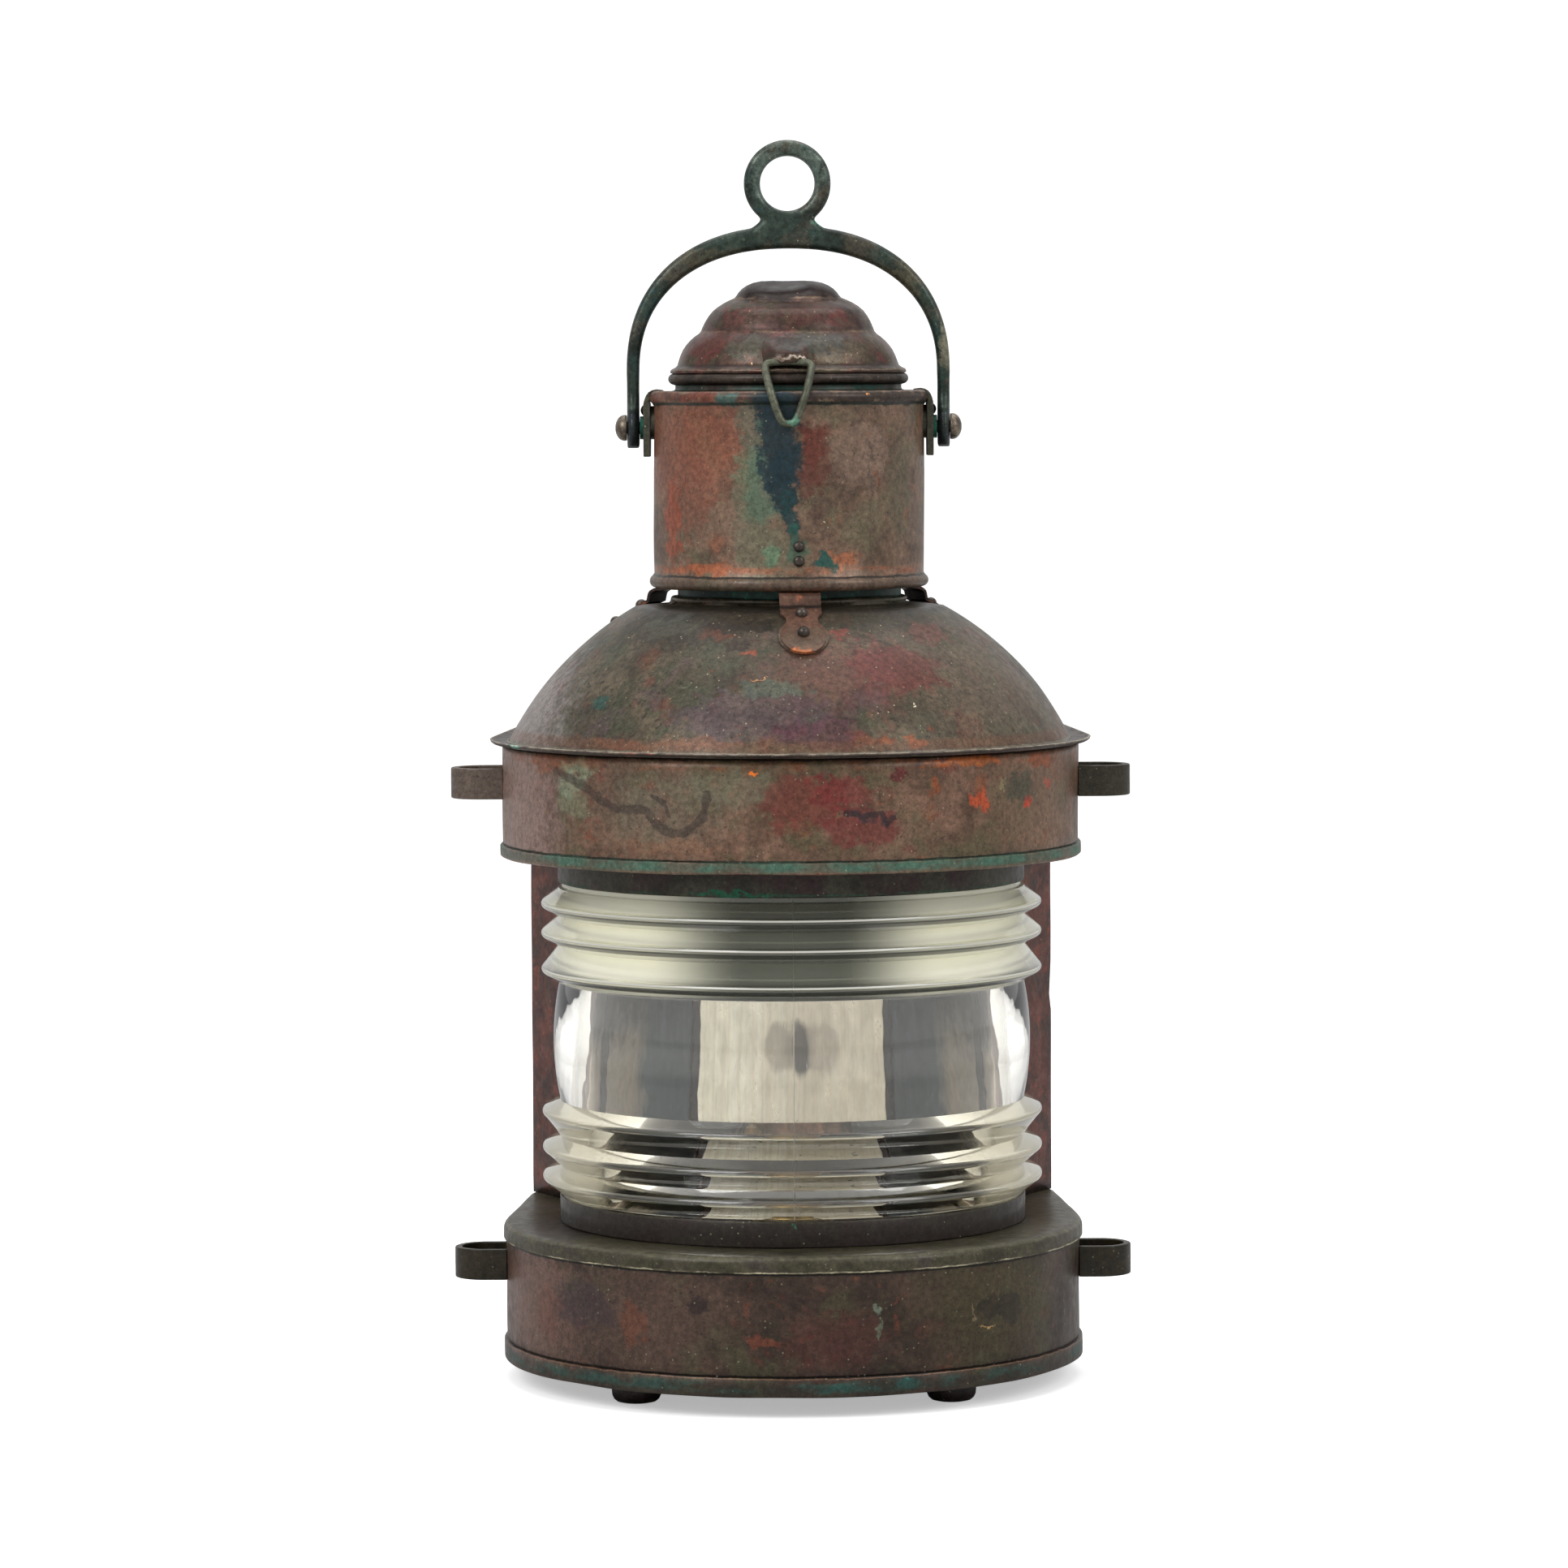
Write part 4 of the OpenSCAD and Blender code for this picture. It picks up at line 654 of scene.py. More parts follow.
casing_copper = patina(
    "casing_copper", "5b352d", seed=31,
    blooms=[("3a2823", 14, 0.46, 0.62, 0.85), ("7a3f2e", 9, 0.55, 0.68, 0.8), ("2b211d", 3, 0.58, 0.7, 0.7),
            ("3f3a30", 26, 0.55, 0.7, 0.7), ("2c4a40", 8, 0.68, 0.78, 0.6, (1, 1, 1), 0.7)],
    stripes=[("26211d", 79, 3, 0.8), ("2a241f", 257, 3, 0.8)])
back_line = [(113, BACK_Y), (94, BACK_Y), (80, BACK_Y), (67, BACK_Y), (52, BACK_Y),
             (35, BACK_Y), (17, BACK_Y)]
fold = bent([WING, (BACK_HALF_W, BACK_Y), (113, BACK_Y)], 1.3)
wing_line = [Vector(WING).lerp(fold[1], i / 8) for i in range(8)] + fold[1:-1]
right_half = wing_line + [Vector(p) for p in back_line]
casing_line = right_half + [Vector((0, BACK_Y))] + [
    Vector((-p.x, p.y)) for p in reversed(right_half)]
casing_heights = [Z_BASE + (Z_LINTEL - Z_BASE) * j / 20 for j in range(21)] + [
    249.7, 254.4, Z_DRUM]
casing = bmesh.new()
sheet_along(casing, len(casing_line) - 1, len(casing_heights) - 1,
            lambda i, j: (*casing_line[i], casing_heights[j]))
faces_out(casing, (0, 40, 170))
cut = [f for f in casing.faces if f.calc_center_median().y > BACK_Y - 2
       and abs(f.calc_center_median().x) < DOOR_OPEN and f.calc_center_median().z < Z_LINTEL]
bmesh.ops.delete(casing, geom=cut, context="FACES")
for v in casing.verts:
    if v.co.x > 125:
        v.co.x -= 1.3 * max(0, 1 - abs(v.co.z - 181) / 9) ** 1.3
dent(casing, 0.25, 28, 9)
piece("folded_casing", casing, casing_copper, "lantern", ["back_casing"],
      sheet=SHEET)

tinned_sheet = patina(
    "tinned_sheet", "59646b", seed=41, metal=0.5, rough=0.4, specks="a9b0b0", dust=0.3, grain=0.2, contrast=0.08,
    blooms=[("566068", 30, 0.45, 0.65, 0.7), ("7b7d78", 12, 0.6, 0.75, 0.3)],
    # The pale patches at the outer ends of the screens are painted light, and the nearly black band across their upper
    # part is painted shade.
    spots=[("cbbfb0", (-97, 52, 168), (27, 40, 300), 0.95), ("cbbfb0", (97, 52, 168), (27, 40, 300), 0.95),
           ("171716", (0, 70, 184), (400, 400, 36), 0.93), ("5b6150", (0, 70, 96), (400, 400, 44), 0.9)])
SCREEN_LINE = bent([(103, 27), (99, 43), (78, 68), (53.2, 89.6), (53.2, 98.4)], 1.0, 3)
for side, way in (("left", -1), ("right", 1)):
    screen = bmesh.new()
    sheet_along(screen, len(SCREEN_LINE) - 1, 10,
                lambda i, j: (way * SCREEN_LINE[i].x, SCREEN_LINE[i].y, 78.4 + 180.2 * j / 10))
    faces_out(screen, (way * 200, 150, 168))
    piece(side + "_tin_screen", screen, tinned_sheet, "lantern",
          [side + "_screen"], sheet=1.1)


# Drum
# The band of sheet copper over the lens, bent to the same D as the base, with a band pressed
# round its foot and a flat ring soldered in under it round the upper collar.
DRUM_H = 55
Z_CROWN = Z_DRUM + DRUM_H

drum_copper = patina(
    "drum_copper", "6b5243", seed=51,
    blooms=[("59503b", 26, 0.46, 0.62, 0.85), ("80482e", 14, 0.57, 0.7, 0.7), ("6b2f2b", 17, 0.58, 0.7, 0.6),
            ("4a3b33", 8, 0.56, 0.7, 0.7), ("5d6a50", 5, 0.66, 0.76, 0.6, (1, 1, 1), 0.6)],
    stripes=[("8a4d2a", 310.5, 3.2, 0.35, 0.1), ("1f1b18", 265.1, 0.8, 0.95),
             # The dark line at the top of the drum, under the edge of the crown plate, is painted shade.
             ("28211c", 313.6, 0.9, 0.9), ("50564a", 262.3, 3.6, 0.8), ("3d6656", 262.6, 3.4, 0.75, 0.8)],
    # The pale lavender patch on the left of the drum is a painted sheen.
    spots=[("8d756e", (-132, -50, 285), (28, 76, 60), 0.75), ("7b6350", (118, -78, 286), (30, 50, 44), 0.55), ("6c6556", (-62, -124, 288), (44, 26, 26), 0.5),
           ("7b4a30", (-116, -82, 309), (26, 26, 6), 0.7), ("6a6a58", (-30, -138, 300), (32, 20, 12), 0.45),
           ("7d8a70", (-103, -98, 307.5), (14, 14, 5), 0.5, 0.6), ("82927a", (-105, -95, 300), (12, 12, 8), 0.45, 0.6),
           ("757d64", (-104, -96, 291), (14, 14, 10), 0.4, 0.6), ("6b6352", (-70, -122, 294), (18, 12, 8), 0.6),
           ("6d2a28", (6, -142, 293), (26, 12, 17), 0.6), ("701f26", (24, -140, 298), (18, 12, 9), 0.55),
           ("5c2729", (51.7, -132.3, 305.1), (5, 5, 4), 0.8), ("6b262a", (34, -139, 281), (26, 14, 11), 0.6),
           ("3a2f34", (34, -137.5, 286.5), (9, 5, 2), 0.7), ("3a2f34", (43.5, -135.3, 283.5), (2.6, 4, 3.4), 0.75),
           ("a1582a", (84, -115, 310.5), (30, 24, 3), 0.75), ("8a4a2d", (120, -76, 309), (10, 26, 4), 0.75),
           ("b04c2e", (89.5, -110.2, 290.7), (6.5, 7, 6.5), 0.85), ("b8432f", (113.7, -85.1, 288.9), (3, 4, 3), 0.9),
           ("9c4430", (124.2, -68.9, 298), (3, 6, 4), 0.7), ("8d4c2b", (69.1, -124, 300.7), (4, 4, 5), 0.7),
           ("3f4237", (109.6, -90.3, 296), (12, 14, 10), 0.7), ("8c8560", (101, -99, 298), (2.6, 4, 3), 0.6),
           ("e8792f", (-17.7, -141, 307.8), (2.2, 3, 2.0), 1.0), ("7d5a45", (-59, -129, 271), (40, 20, 5), 0.5)],
    trails=[("3a312d", 2.2, 0.65, [(-112, -87, 306), (-105, -95.6, 302), (-98.5, -102.3, 298.6),
                                   (-91, -109, 293.6), (-85.1, -113.7, 289.6),
                                   (-76.9, -119.4, 288.8), (-68.7, -124.3, 288.7),
                                   (-64.8, -126.3, 283.5), (-55.9, -130.5, 277.5),
                                   (-46.3, -134.3, 281), (-41.5, -135.8, 286),
                                   (-40.4, -136.1, 291.3), (-39.5, -136.4, 297)]),
            ("3d3430", 1.1, 0.7, [(-66, -125.7, 296), (-60, -128.7, 293), (-58, -129.6, 287)]),
            ("35292a", 1.3, 0.8, [(26, -139.6, 288), (34, -137.9, 286.5), (43, -135.3, 288),
                                  (45, -134.7, 283), (49, -133.3, 285)])])

levels = [(BAND - 0.6, Z_DRUM), (BAND, Z_DRUM + 0.5), (BAND + 0.05, 262), (BAND, 264.1),
          (BAND - 0.4, 264.6), (-0.25, 264.9), (0, 265.6)]
levels += [(0, 265.6 + (Z_CROWN - 265.6) * i / 9) for i in range(1, 10)]
drum = body_wall(levels)
faces_out(drum, (0, 0, 285))
dent(drum, 0.5, 36, 4)
piece("drum_wall", drum, drum_copper, "lantern", ["drum"], sheet=SHEET)

soffit_copper = patina("soffit_copper", "3a332c", seed=55,
                       blooms=[("2d2622", 20, 0.5, 0.7, 0.7), ("4d3a2e", 12, 0.6, 0.75, 0.5)])
eased("drum_soffit", "drum_soffit_ring", soffit_copper, "lantern", 0.2)


# Crown plate
# A flat plate that closes the drum round the mouth of the dome, with its edge turned up all
# round; the dome is soldered to it.
MOUTH_R = 136

crown_copper = patina(
    "crown_copper", "5a4d44", seed=61, specks="c9b79c", dust=0.7,
    blooms=[("4a4740", 16, 0.48, 0.64, 0.8), ("7a6a62", 9, 0.56, 0.7, 0.6),
            ("7b3a33", 14, 0.62, 0.74, 0.6), ("5c8a78", 7, 0.66, 0.76, 0.6, (1, 1, 1), 0.7)],
    # These lines are painted light and shade: the dark line in the dish is painted shade, the pale line on the
    # turned-up edge is a painted highlight, and the dark line under the edge is painted shade.
    stripes=[("231e1a", 315.3, 0.7, 0.85), ("b3a893", 316.7, 0.45, 0.75), ("2a2420", 313.9, 0.5, 0.8)],
    spots=[("8fc9b4", (-134, -62, 316), (9, 9, 1.6), 0.9, 0.6), ("8a4034", (-70, -128, 316), (20, 12, 1), 0.6)])
levels = [(-2, Z_CROWN + SHEET), (0, Z_CROWN + SHEET), (3.2, Z_CROWN + SHEET),
          (4.4, Z_CROWN + 1.5), (5.0, Z_CROWN + 2.0), (5.25, Z_CROWN + 2.6)]


def in_mouth(i, level):
    """The point of the mouth nearest to a point of the D; it is flat at the back."""
    point = PLAN[i][0]
    return (*(point * min(MOUTH_R / point.length, (BACK_Y - 8) / max(point.y, 1))), level)


crown = bmesh.new()
number, edges = ring(crown, len(PLAN), Z_CROWN + SHEET, in_mouth)
loft(crown, edges, number, levels, on_plan)
faces_out(crown, (0, 0, 0))
dent(crown, 0.12, 22, 8)
piece("crown_flange", crown, crown_copper, "lantern", ["crown_plate"],
      sheet=0.9)


# Dome
# Spun from one sheet to part of a sphere, with a nearly flat neck and a rolled bead round
# its mouth. It is cut off flat at the back of the body and closed there with a plate.
DOME_R = 155
DOME_ZC = 245.81
Z_DOME = 315.2
DOME_FOOT_R = 138.6
NECK_R = 76
BEAD_R = 57.2
Z_NECK = 382.7

dome_copper = patina(
    "dome_copper", "4f4638", seed=71, specks="c2b698", dust=0.65, contrast=0.28,
    blooms=[("434434", 22, 0.46, 0.6, 0.85), ("633c33", 18, 0.55, 0.68, 0.65),
            ("554248", 28, 0.56, 0.7, 0.55), ("743c28", 9, 0.61, 0.73, 0.65),
            ("37503f", 6, 0.64, 0.75, 0.6, (1.6, 1.6, 1), 0.6), ("2a2620", 3.4, 0.57, 0.65, 0.7),
            ("8a8674", 4, 0.68, 0.78, 0.4, (4, 4, 1)), ("5f7264", 1.8, 0.62, 0.74, 0.45)],
    # The dark line round the foot of the dome, in the dish of the crown plate, is painted shade.
    stripes=[("2b2520", 316.0, 0.9, 0.7), ("6d4a38", 319, 4, 0.45), ("2a2520", 381, 2.5, 0.7), ("8a8474", 316, 0.8, 0.5)],
    # The pale lavender-grey patch on the left of the dome is a painted sheen.
    spots=[("8b827f", (-136, -30, 338), (36, 96, 54), 0.8), ("6e5f50", (94, -66, 345), (44, 60, 36), 0.5), ("322c22", (-46, -62, 374), (56, 46, 17), 0.85), ("2d271e", (0, -46, 378), (90, 60, 13), 0.6), ("241f19", (-50, -60, 377), (20, 16, 5), 0.7), ("2a241d", (-16, -84, 374), (12, 14, 5), 0.7),
           ("5f342f", (24, -110, 352), (46, 30, 22), 0.55), ("51404a", (-20, -124, 334), (50, 24, 16), 0.45),
           ("2d211a", (-37, -78, 373), (10, 12, 3.4), 0.8), ("2d221c", (-26, -96, 366), (9, 8, 2.6), 0.75),
           ("5e3524", (-34, -86, 370.4), (12, 12, 3), 0.6), ("5c3828", (-68, -82, 358.8), (8, 9, 9), 0.6),
           ("8a4630", (-19.5, -101, 362), (5, 5, 2), 0.75), ("24463f", (-91, -85, 337.6), (5, 6, 4), 0.8, 0.6),
           ("b98a5c", (-15.6, -113.4, 350.3), (5, 3, 0.6), 0.8), ("4c5c4e", (-9, -118, 345.5), (24, 12, 5), 0.55, 0.5),
           ("6b4634", (-81, -110, 319), (26, 22, 4), 0.7), ("6b4634", (-44, -128, 321), (30, 16, 4), 0.55),
           ("622f2c", (50, -96, 354), (30, 24, 18), 0.65), ("6a3f36", (67, -65, 370), (18, 16, 7), 0.6),
           ("86482a", (59.6, -122, 320.6), (8, 7, 4.5), 0.85), ("7d4529", (46, -127, 322), (6, 6, 3), 0.75),
           ("70402c", (33.7, -130.4, 322.4), (9, 7, 3), 0.7), ("552f3a", (14, -133, 325.4), (30, 14, 9), 0.5),
           ("2b2a25", (50, -58, 380), (20, 16, 3), 0.8), ("d8ceb4", (58.8, -109.8, 338.1), (1.8, 2, 0.7), 0.9),
           ("753a33", (24, -88, 371), (6, 6, 5), 0.7), ("4a4a3d", (-50, -60, 372), (30, 26, 8), 0.5)])

sweep = [asin(NECK_R / DOME_R) + (asin(DOME_FOOT_R / DOME_R) - asin(NECK_R / DOME_R)) * i / 40
         for i in range(41)]
outline = [(BEAD_R - 2.2, Z_NECK + 1.2)]
outline += [(BEAD_R - 0.5 + 1.5 * cos(radians(a)), Z_NECK + 1.9 + 1.5 * sin(radians(a)))
            for a in range(150, -61, -30)]
outline += [(BEAD_R + 0.2, Z_NECK + 0.4), (BEAD_R + 2, Z_NECK - 0.1), (66, Z_NECK - 0.7),
            (72, Z_NECK - 1.2)]
outline += [(DOME_R * sin(a), DOME_ZC + DOME_R * cos(a)) for a in sweep]
outline += [(DOME_FOOT_R + 0.5, Z_DOME + 0.4), (DOME_FOOT_R + 1.4, Z_DOME + 0.1)]
dome = bmesh.new()
turned(dome, outline, steps=200)
bmesh.ops.bisect_plane(dome, geom=dome.verts[:] + dome.edges[:] + dome.faces[:],
                       plane_co=(0, BACK_Y, 0), plane_no=(0, 1, 0), clear_outer=True)
faces_out(dome, (0, 0, 300))
dent(dome, 0.7, 40, 3)
piece("spun_dome", dome, dome_copper, "lantern", ["dome"], sheet=SHEET)

plate_r = sqrt(DOME_R ** 2 - BACK_Y ** 2) - 0.4
plate = bmesh.new()
lay = Matrix.Translation((0, BACK_Y - 0.2, DOME_ZC)) @ Matrix.Rotation(radians(-90), 4, "X")
bmesh.ops.create_circle(plate, cap_ends=True, segments=160, radius=plate_r, matrix=lay)
bmesh.ops.bisect_plane(plate, geom=plate.verts[:] + plate.edges[:] + plate.faces[:],
                       plane_co=(0, 0, Z_DOME), plane_no=(0, 0, -1), clear_outer=True)
faces_out(plate, (0, 0, 330))
bmesh.ops.inset_region(plate, faces=plate.faces[:], thickness=2.4, use_boundary=True)
piece("dome_back_plate", plate, dome_copper, "lantern", ["dome_back"],
      sheet=SHEET, broken=0.3)


# Chimney
# The inner flue stands in the mouth of the dome. The outer tube is held off it, with a wire
# rolled into each end. A spun ring closes the tube at the top and carries the neck and the
# beaded seat of the cap.
FLUE_R = 55
CHIMNEY_R = 66.4
Z_CHIMNEY = 390.3
Z_TOP = 486.9
Z_SEAT = 495.5
ROLL_R = 3.3
ROLL_C = 65.5
CAP_NECK_R = 55.6

flue_copper = patina("flue_copper", "1d3c35", seed=81, metal=0.3,
                     blooms=[("12251f", 12, 0.45, 0.6, 0.9), ("1c6a50", 9, 0.56, 0.7, 0.9, (1, 1, 1), 0.8),
                             ("3a2c26", 10, 0.62, 0.75, 0.7)])
flue = bmesh.new()
turned(flue, [(FLUE_R, Z_NECK - 8), (FLUE_R, Z_NECK + 6), (FLUE_R, Z_NECK + 30),
              (FLUE_R, Z_NECK + 75)], steps=120)
faces_out(flue, (0, 0, 400))
piece("inner_flue", flue, flue_copper, "lantern", ["flue"], sheet=SHEET)

chimney_copper = patina(
    "chimney_copper", "6d5849", seed=91,
    blooms=[("625c48", 22, 0.48, 0.64, 0.7), ("845541", 12, 0.55, 0.7, 0.7),
            ("54423a", 9, 0.54, 0.68, 0.7), ("93512f", 6, 0.62, 0.74, 0.55),
            ("5f5749", 3, 0.58, 0.74, 0.5), ("57705c", 3, 0.68, 0.78, 0.5, (1, 1, 1), 0.5)],
    # The dark line just under the top roll is a painted shadow.
    stripes=[("9a5636", 400, 2.6, 0.55, 0.1), ("211c18", 396.6, 0.9, 0.9), ("1f2b26", 480.6, 1.1, 0.9),
             ("50443a", 393.4, 3.5, 0.6), ("8c7060", 486.4, 0.5, 0.5, 0.1)],
    spots=[("362c27", (0, 0, 484), (150, 150, 4.6), 0.95), ("5e2f27", (-44, -50, 484), (16, 16, 4), 0.7),
           ("8b5340", (-38, -54, 462), (32, 28, 30), 0.65), ("7d4f40", (-48, -45, 440), (20, 22, 24), 0.6),
           ("84503e", (-62, -24, 462), (24, 36, 36), 0.65), ("8f4b37", (-56.6, -34.7, 423), (8, 12, 26), 0.75), ("a05a3c", (-42, -50, 400.5), (26, 18, 3.2), 0.7),
           ("6c6655", (-16, -64, 430), (16, 10, 36), 0.75), ("66614f", (-10, -65, 408), (20, 10, 16), 0.6),
           ("5f7c64", (-13, -65, 451), (4.5, 8, 9), 0.85, 0.6), ("55705b", (-12.8, -65.2, 471), (4, 8, 4), 0.75, 0.6),
           ("5d7c60", (-9.2, -65.8, 407), (4, 8, 9), 0.7, 0.7), ("6e6b5f", (-8, -66, 440), (6, 8, 4), 0.6, 0.4),
           ("6d2f28", (11, -65.5, 459), (7, 10, 15), 0.8), ("58302c", (8, -66, 444), (8, 9, 12), 0.6),
           ("735f53", (34, -57, 456), (20, 18, 20), 0.6), ("7d675a", (42, -51, 458), (10, 12, 16), 0.6),
           ("52473d", (39.6, -53.3, 447), (0.9, 5, 26), 0.6), ("5e5646", (53, -40, 440), (10, 14, 30), 0.6),
           ("5c6a52", (-19, -63, 448), (8, 10, 15), 0.65, 0.5), ("50644e", (-15, -65, 430), (9, 10, 11), 0.55, 0.5),
           ("6f4a3c", (-28, -61, 470), (10, 12, 14), 0.5), ("5a352c", (13, -65, 454), (10, 10, 22), 0.7),
           ("2e5a4a", (3.7, -66.3, 408), (7, 8, 7.5), 0.6, 0.6), ("3f2c2a", (14, -65, 430), (7, 8, 9), 0.45),
           ("a35f3e", (24, -62, 405.5), (13, 10, 5), 0.6), ("1e4c45", (17.5, -64, 404.6), (7.5, 8, 5), 0.95, 0.6),
           ("cfc0a4", (17.5, -64.1, 422.5), (1.6, 3, 0.8), 0.9), ("c98a55", (38, -57, 484.5), (2, 4, 1.2), 0.9),
           ("3d5c55", (-30, -61, 483.6), (8, 8, 3.4), 0.85, 0.6)],
    trails=[("4c6153", 6.5, 0.5, [(-19, -64, 476), (-17, -64, 462), (-14, -65, 446), (-12, -65, 432)]),
            ("262f31", 9, 0.9, [(-10, -65, 481), (-2, -66, 481)]),
            ("203036", 9.8, 0.95, [(-6.5, -66, 478), (-5, -66, 466), (-4, -66, 456), (-4.4, -66, 448)]),
            ("1e3036", 6, 0.95, [(-4, -66, 452), (-3, -66, 442), (-1.4, -66, 434)]),
            ("223a3c", 3.6, 0.9, [(-1.4, -66, 436), (0, -66.4, 428), (1.6, -66.4, 421)]),
            ("2c5148", 2.6, 0.8, [(1.6, -66.4, 421), (3.2, -66.3, 414)])])
bottom_roll = [(ROLL_C + ROLL_R * cos(radians(a)), Z_CHIMNEY + ROLL_R + ROLL_R * sin(radians(a)))
               for a in range(-200, 61, 20)]
top_roll = [(ROLL_C + ROLL_R * cos(radians(a)), Z_TOP - ROLL_R + ROLL_R * sin(radians(a)))
            for a in range(-60, 121, 20)]
rise_line = [(CHIMNEY_R, 397.6 + (479.4 - 397.6) * i / 12) for i in range(13)]
chimney = bmesh.new()
turned(chimney, bottom_roll + rise_line + top_roll, steps=160)
faces_out(chimney, (0, 0, 440))
dent(chimney, 0.55, 30, 6)
piece("chimney_tube", chimney, chimney_copper, "lantern", ["chimney"],
      sheet=SHEET)

ring_copper = patina("ring_copper", "352c26", seed=95,
                     blooms=[("52443a", 10, 0.5, 0.66, 0.7), ("2c2a26", 14, 0.55, 0.7, 0.7)],
                     stripes=[("17392f", 488.4, 2.2, 0.95, 0.5), ("15100e", 490.2, 0.8, 0.9)])
SEAT_ROLL = 2.8
outline = [(CHIMNEY_R - 1.4, Z_TOP - 0.4), (62, Z_TOP), (57.4, Z_TOP), (56, Z_TOP + 0.4),
           (CAP_NECK_R, Z_TOP + 1.2), (CAP_NECK_R, 489.6)]
outline += [(CAP_NECK_R + 0.4 + (SEAT_ROLL + 0.3) * cos(radians(a)),
             Z_SEAT - SEAT_ROLL + SEAT_ROLL * sin(radians(a))) for a in range(-80, 161, 20)]
top_ring = bmesh.new()
turned(top_ring, outline, steps=150)
faces_out(top_ring, (0, 0, 490))
piece("chimney_top_ring", top_ring, ring_copper, "lantern", ["chimney_top"],
      sheet=1.0)


# Chimney straps
# Three copper straps run out from inside the chimney under its bead, down over the neck of
# the dome and on to the shoulder, where each ends in a round tongue. Each has two steel
# rivets in the chimney and two in the dome.
STRAP_T = 1.4
STRAP_HALF_W = 10
STRAP_TURNS = {"front": -86, "right": 29, "left": 156}
TONGUE_R = 11.2
TONGUE_AT = 94.5

strap_copper = patina("strap_copper", "5d4337", seed=101, specks="d9a070", dust=0.6,
                      blooms=[("5c4338", 9, 0.5, 0.66, 0.8), ("9a5a3c", 7, 0.58, 0.7, 0.7),
                              ("6a6450", 8, 0.62, 0.74, 0.5)],
                      stripes=[("1f1814", 383.2, 1.2, 0.9)],
                      spots=[("211a17", (62, 34, 387), (17, 15, 8), 0.9), ("211a17", (-64, 28, 387), (17, 15, 8), 0.9),
                             ("b0683f", (6, -104, 361.5), (10, 6, 2.2), 0.85),
                             ("5a4a3c", (6.6, -94.3, 367), (12, 12, 10), 0.75),
                             ("b0683f", (7, -105, 361), (10, 4, 2), 0.7)])
mid_r = DOME_R + STRAP_T + 0.1
shoulder = [asin(77.2 / mid_r) + (asin((TONGUE_AT + TONGUE_R) / mid_r) - asin(77.2 / mid_r))
            * i / 26 for i in range(27)]
hook = bent([(64.3, 415.8), (64.3, 389.6), (68.8, 389.6), (72.3, 387.6), (73.2, 383.4)], 1.6, 4)
strap_line = [Vector((64.3, 415.8)).lerp(hook[1], i / 3) for i in range(3)] + hook[1:] + [
    Vector((mid_r * sin(a), DOME_ZC + mid_r * cos(a))) for a in shoulder]


def strap_half_width(r, z):
    """Half the width of a strap at one point of its line."""
    if z > 380 or r < 79:
        return STRAP_HALF_W
    waist = STRAP_HALF_W - 2.4 * min(1, max(0, (r - 79) / 4))
    inside = TONGUE_R ** 2 - (r - TONGUE_AT) ** 2
    return max(sqrt(max(0, inside)), waist if r < TONGUE_AT else 0)


def strap_point(i, j, across=8):
    r, z = strap_line[i]
    t = strap_half_width(r, z) * (2 * j / across - 1)
    if r > 77 and z < 382:
        z = DOME_ZC + sqrt(mid_r ** 2 - r * r - t * t) + 1.3 * max(0, (r - 86) / 19)
    return (r, t, z)


for side, turn in STRAP_TURNS.items():
    strap = bmesh.new()
    sheet_along(strap, len(strap_line) - 1, 8, strap_point)
    faces_out(strap, (40, 0, 340))
    bmesh.ops.rotate(strap, verts=strap.verts, cent=(0, 0, 0),
                     matrix=Matrix.Rotation(radians(turn), 3, "Z"))
    piece(side + "_chimney_strap", strap, strap_copper, "lantern",
          [side + "_strap"], sheet=STRAP_T, broken=0.35)

rivet_steel = patina("rivet_steel", "483f38", seed=105, metal=0.7, rough=0.38,
                     blooms=[("2a2826", 3, 0.5, 0.65, 0.8), ("51453c", 4, 0.6, 0.72, 0.6)])
rivets = bmesh.new()


def add_rivet(bm, place, radius, height):
    """A domed head turned on its own axis and set down where its hole is."""
    head = bmesh.new()
    turned(head, [(0, -1.6), (radius * 0.6, -1.6), (radius * 0.6, 0), (radius, 0), (radius, 0.5)]
           + [(radius * cos(radians(a)), 0.5 + (height - 0.5) * sin(radians(a)))
              for a in range(15, 76, 15)] + [(0, height)], steps=24)
    faces_out(head, (0, 0, 0.5))
    bmesh.ops.transform(head, matrix=place, verts=head.verts)
    spare = bpy.data.meshes.new("spare")
    head.to_mesh(spare)
    head.free()
    bm.from_mesh(spare)
    bpy.data.meshes.remove(spare)


for turn in STRAP_TURNS.values():
    for r in (80.5, 94.5):
        lean = asin(r / mid_r)
        add_rivet(rivets, Matrix.Rotation(radians(turn), 4, "Z")
                  @ Matrix.Translation((r, 0, DOME_ZC + mid_r * cos(lean) + (0.9 if r > 90 else 0)))
                  @ Matrix.Rotation(lean, 4, "Y"), 3.0, 3.4)
    for z in (411.8, 404.8):
        add_rivet(rivets, Matrix.Rotation(radians(turn), 4, "Z")
                  @ Matrix.Translation((CHIMNEY_R, 0, z)) @ Matrix.Rotation(pi / 2, 4, "Y"),
                  2.7, 2.2)
piece("strap_rivet_heads", rivets, rivet_steel, "lantern", ["strap_rivets"])

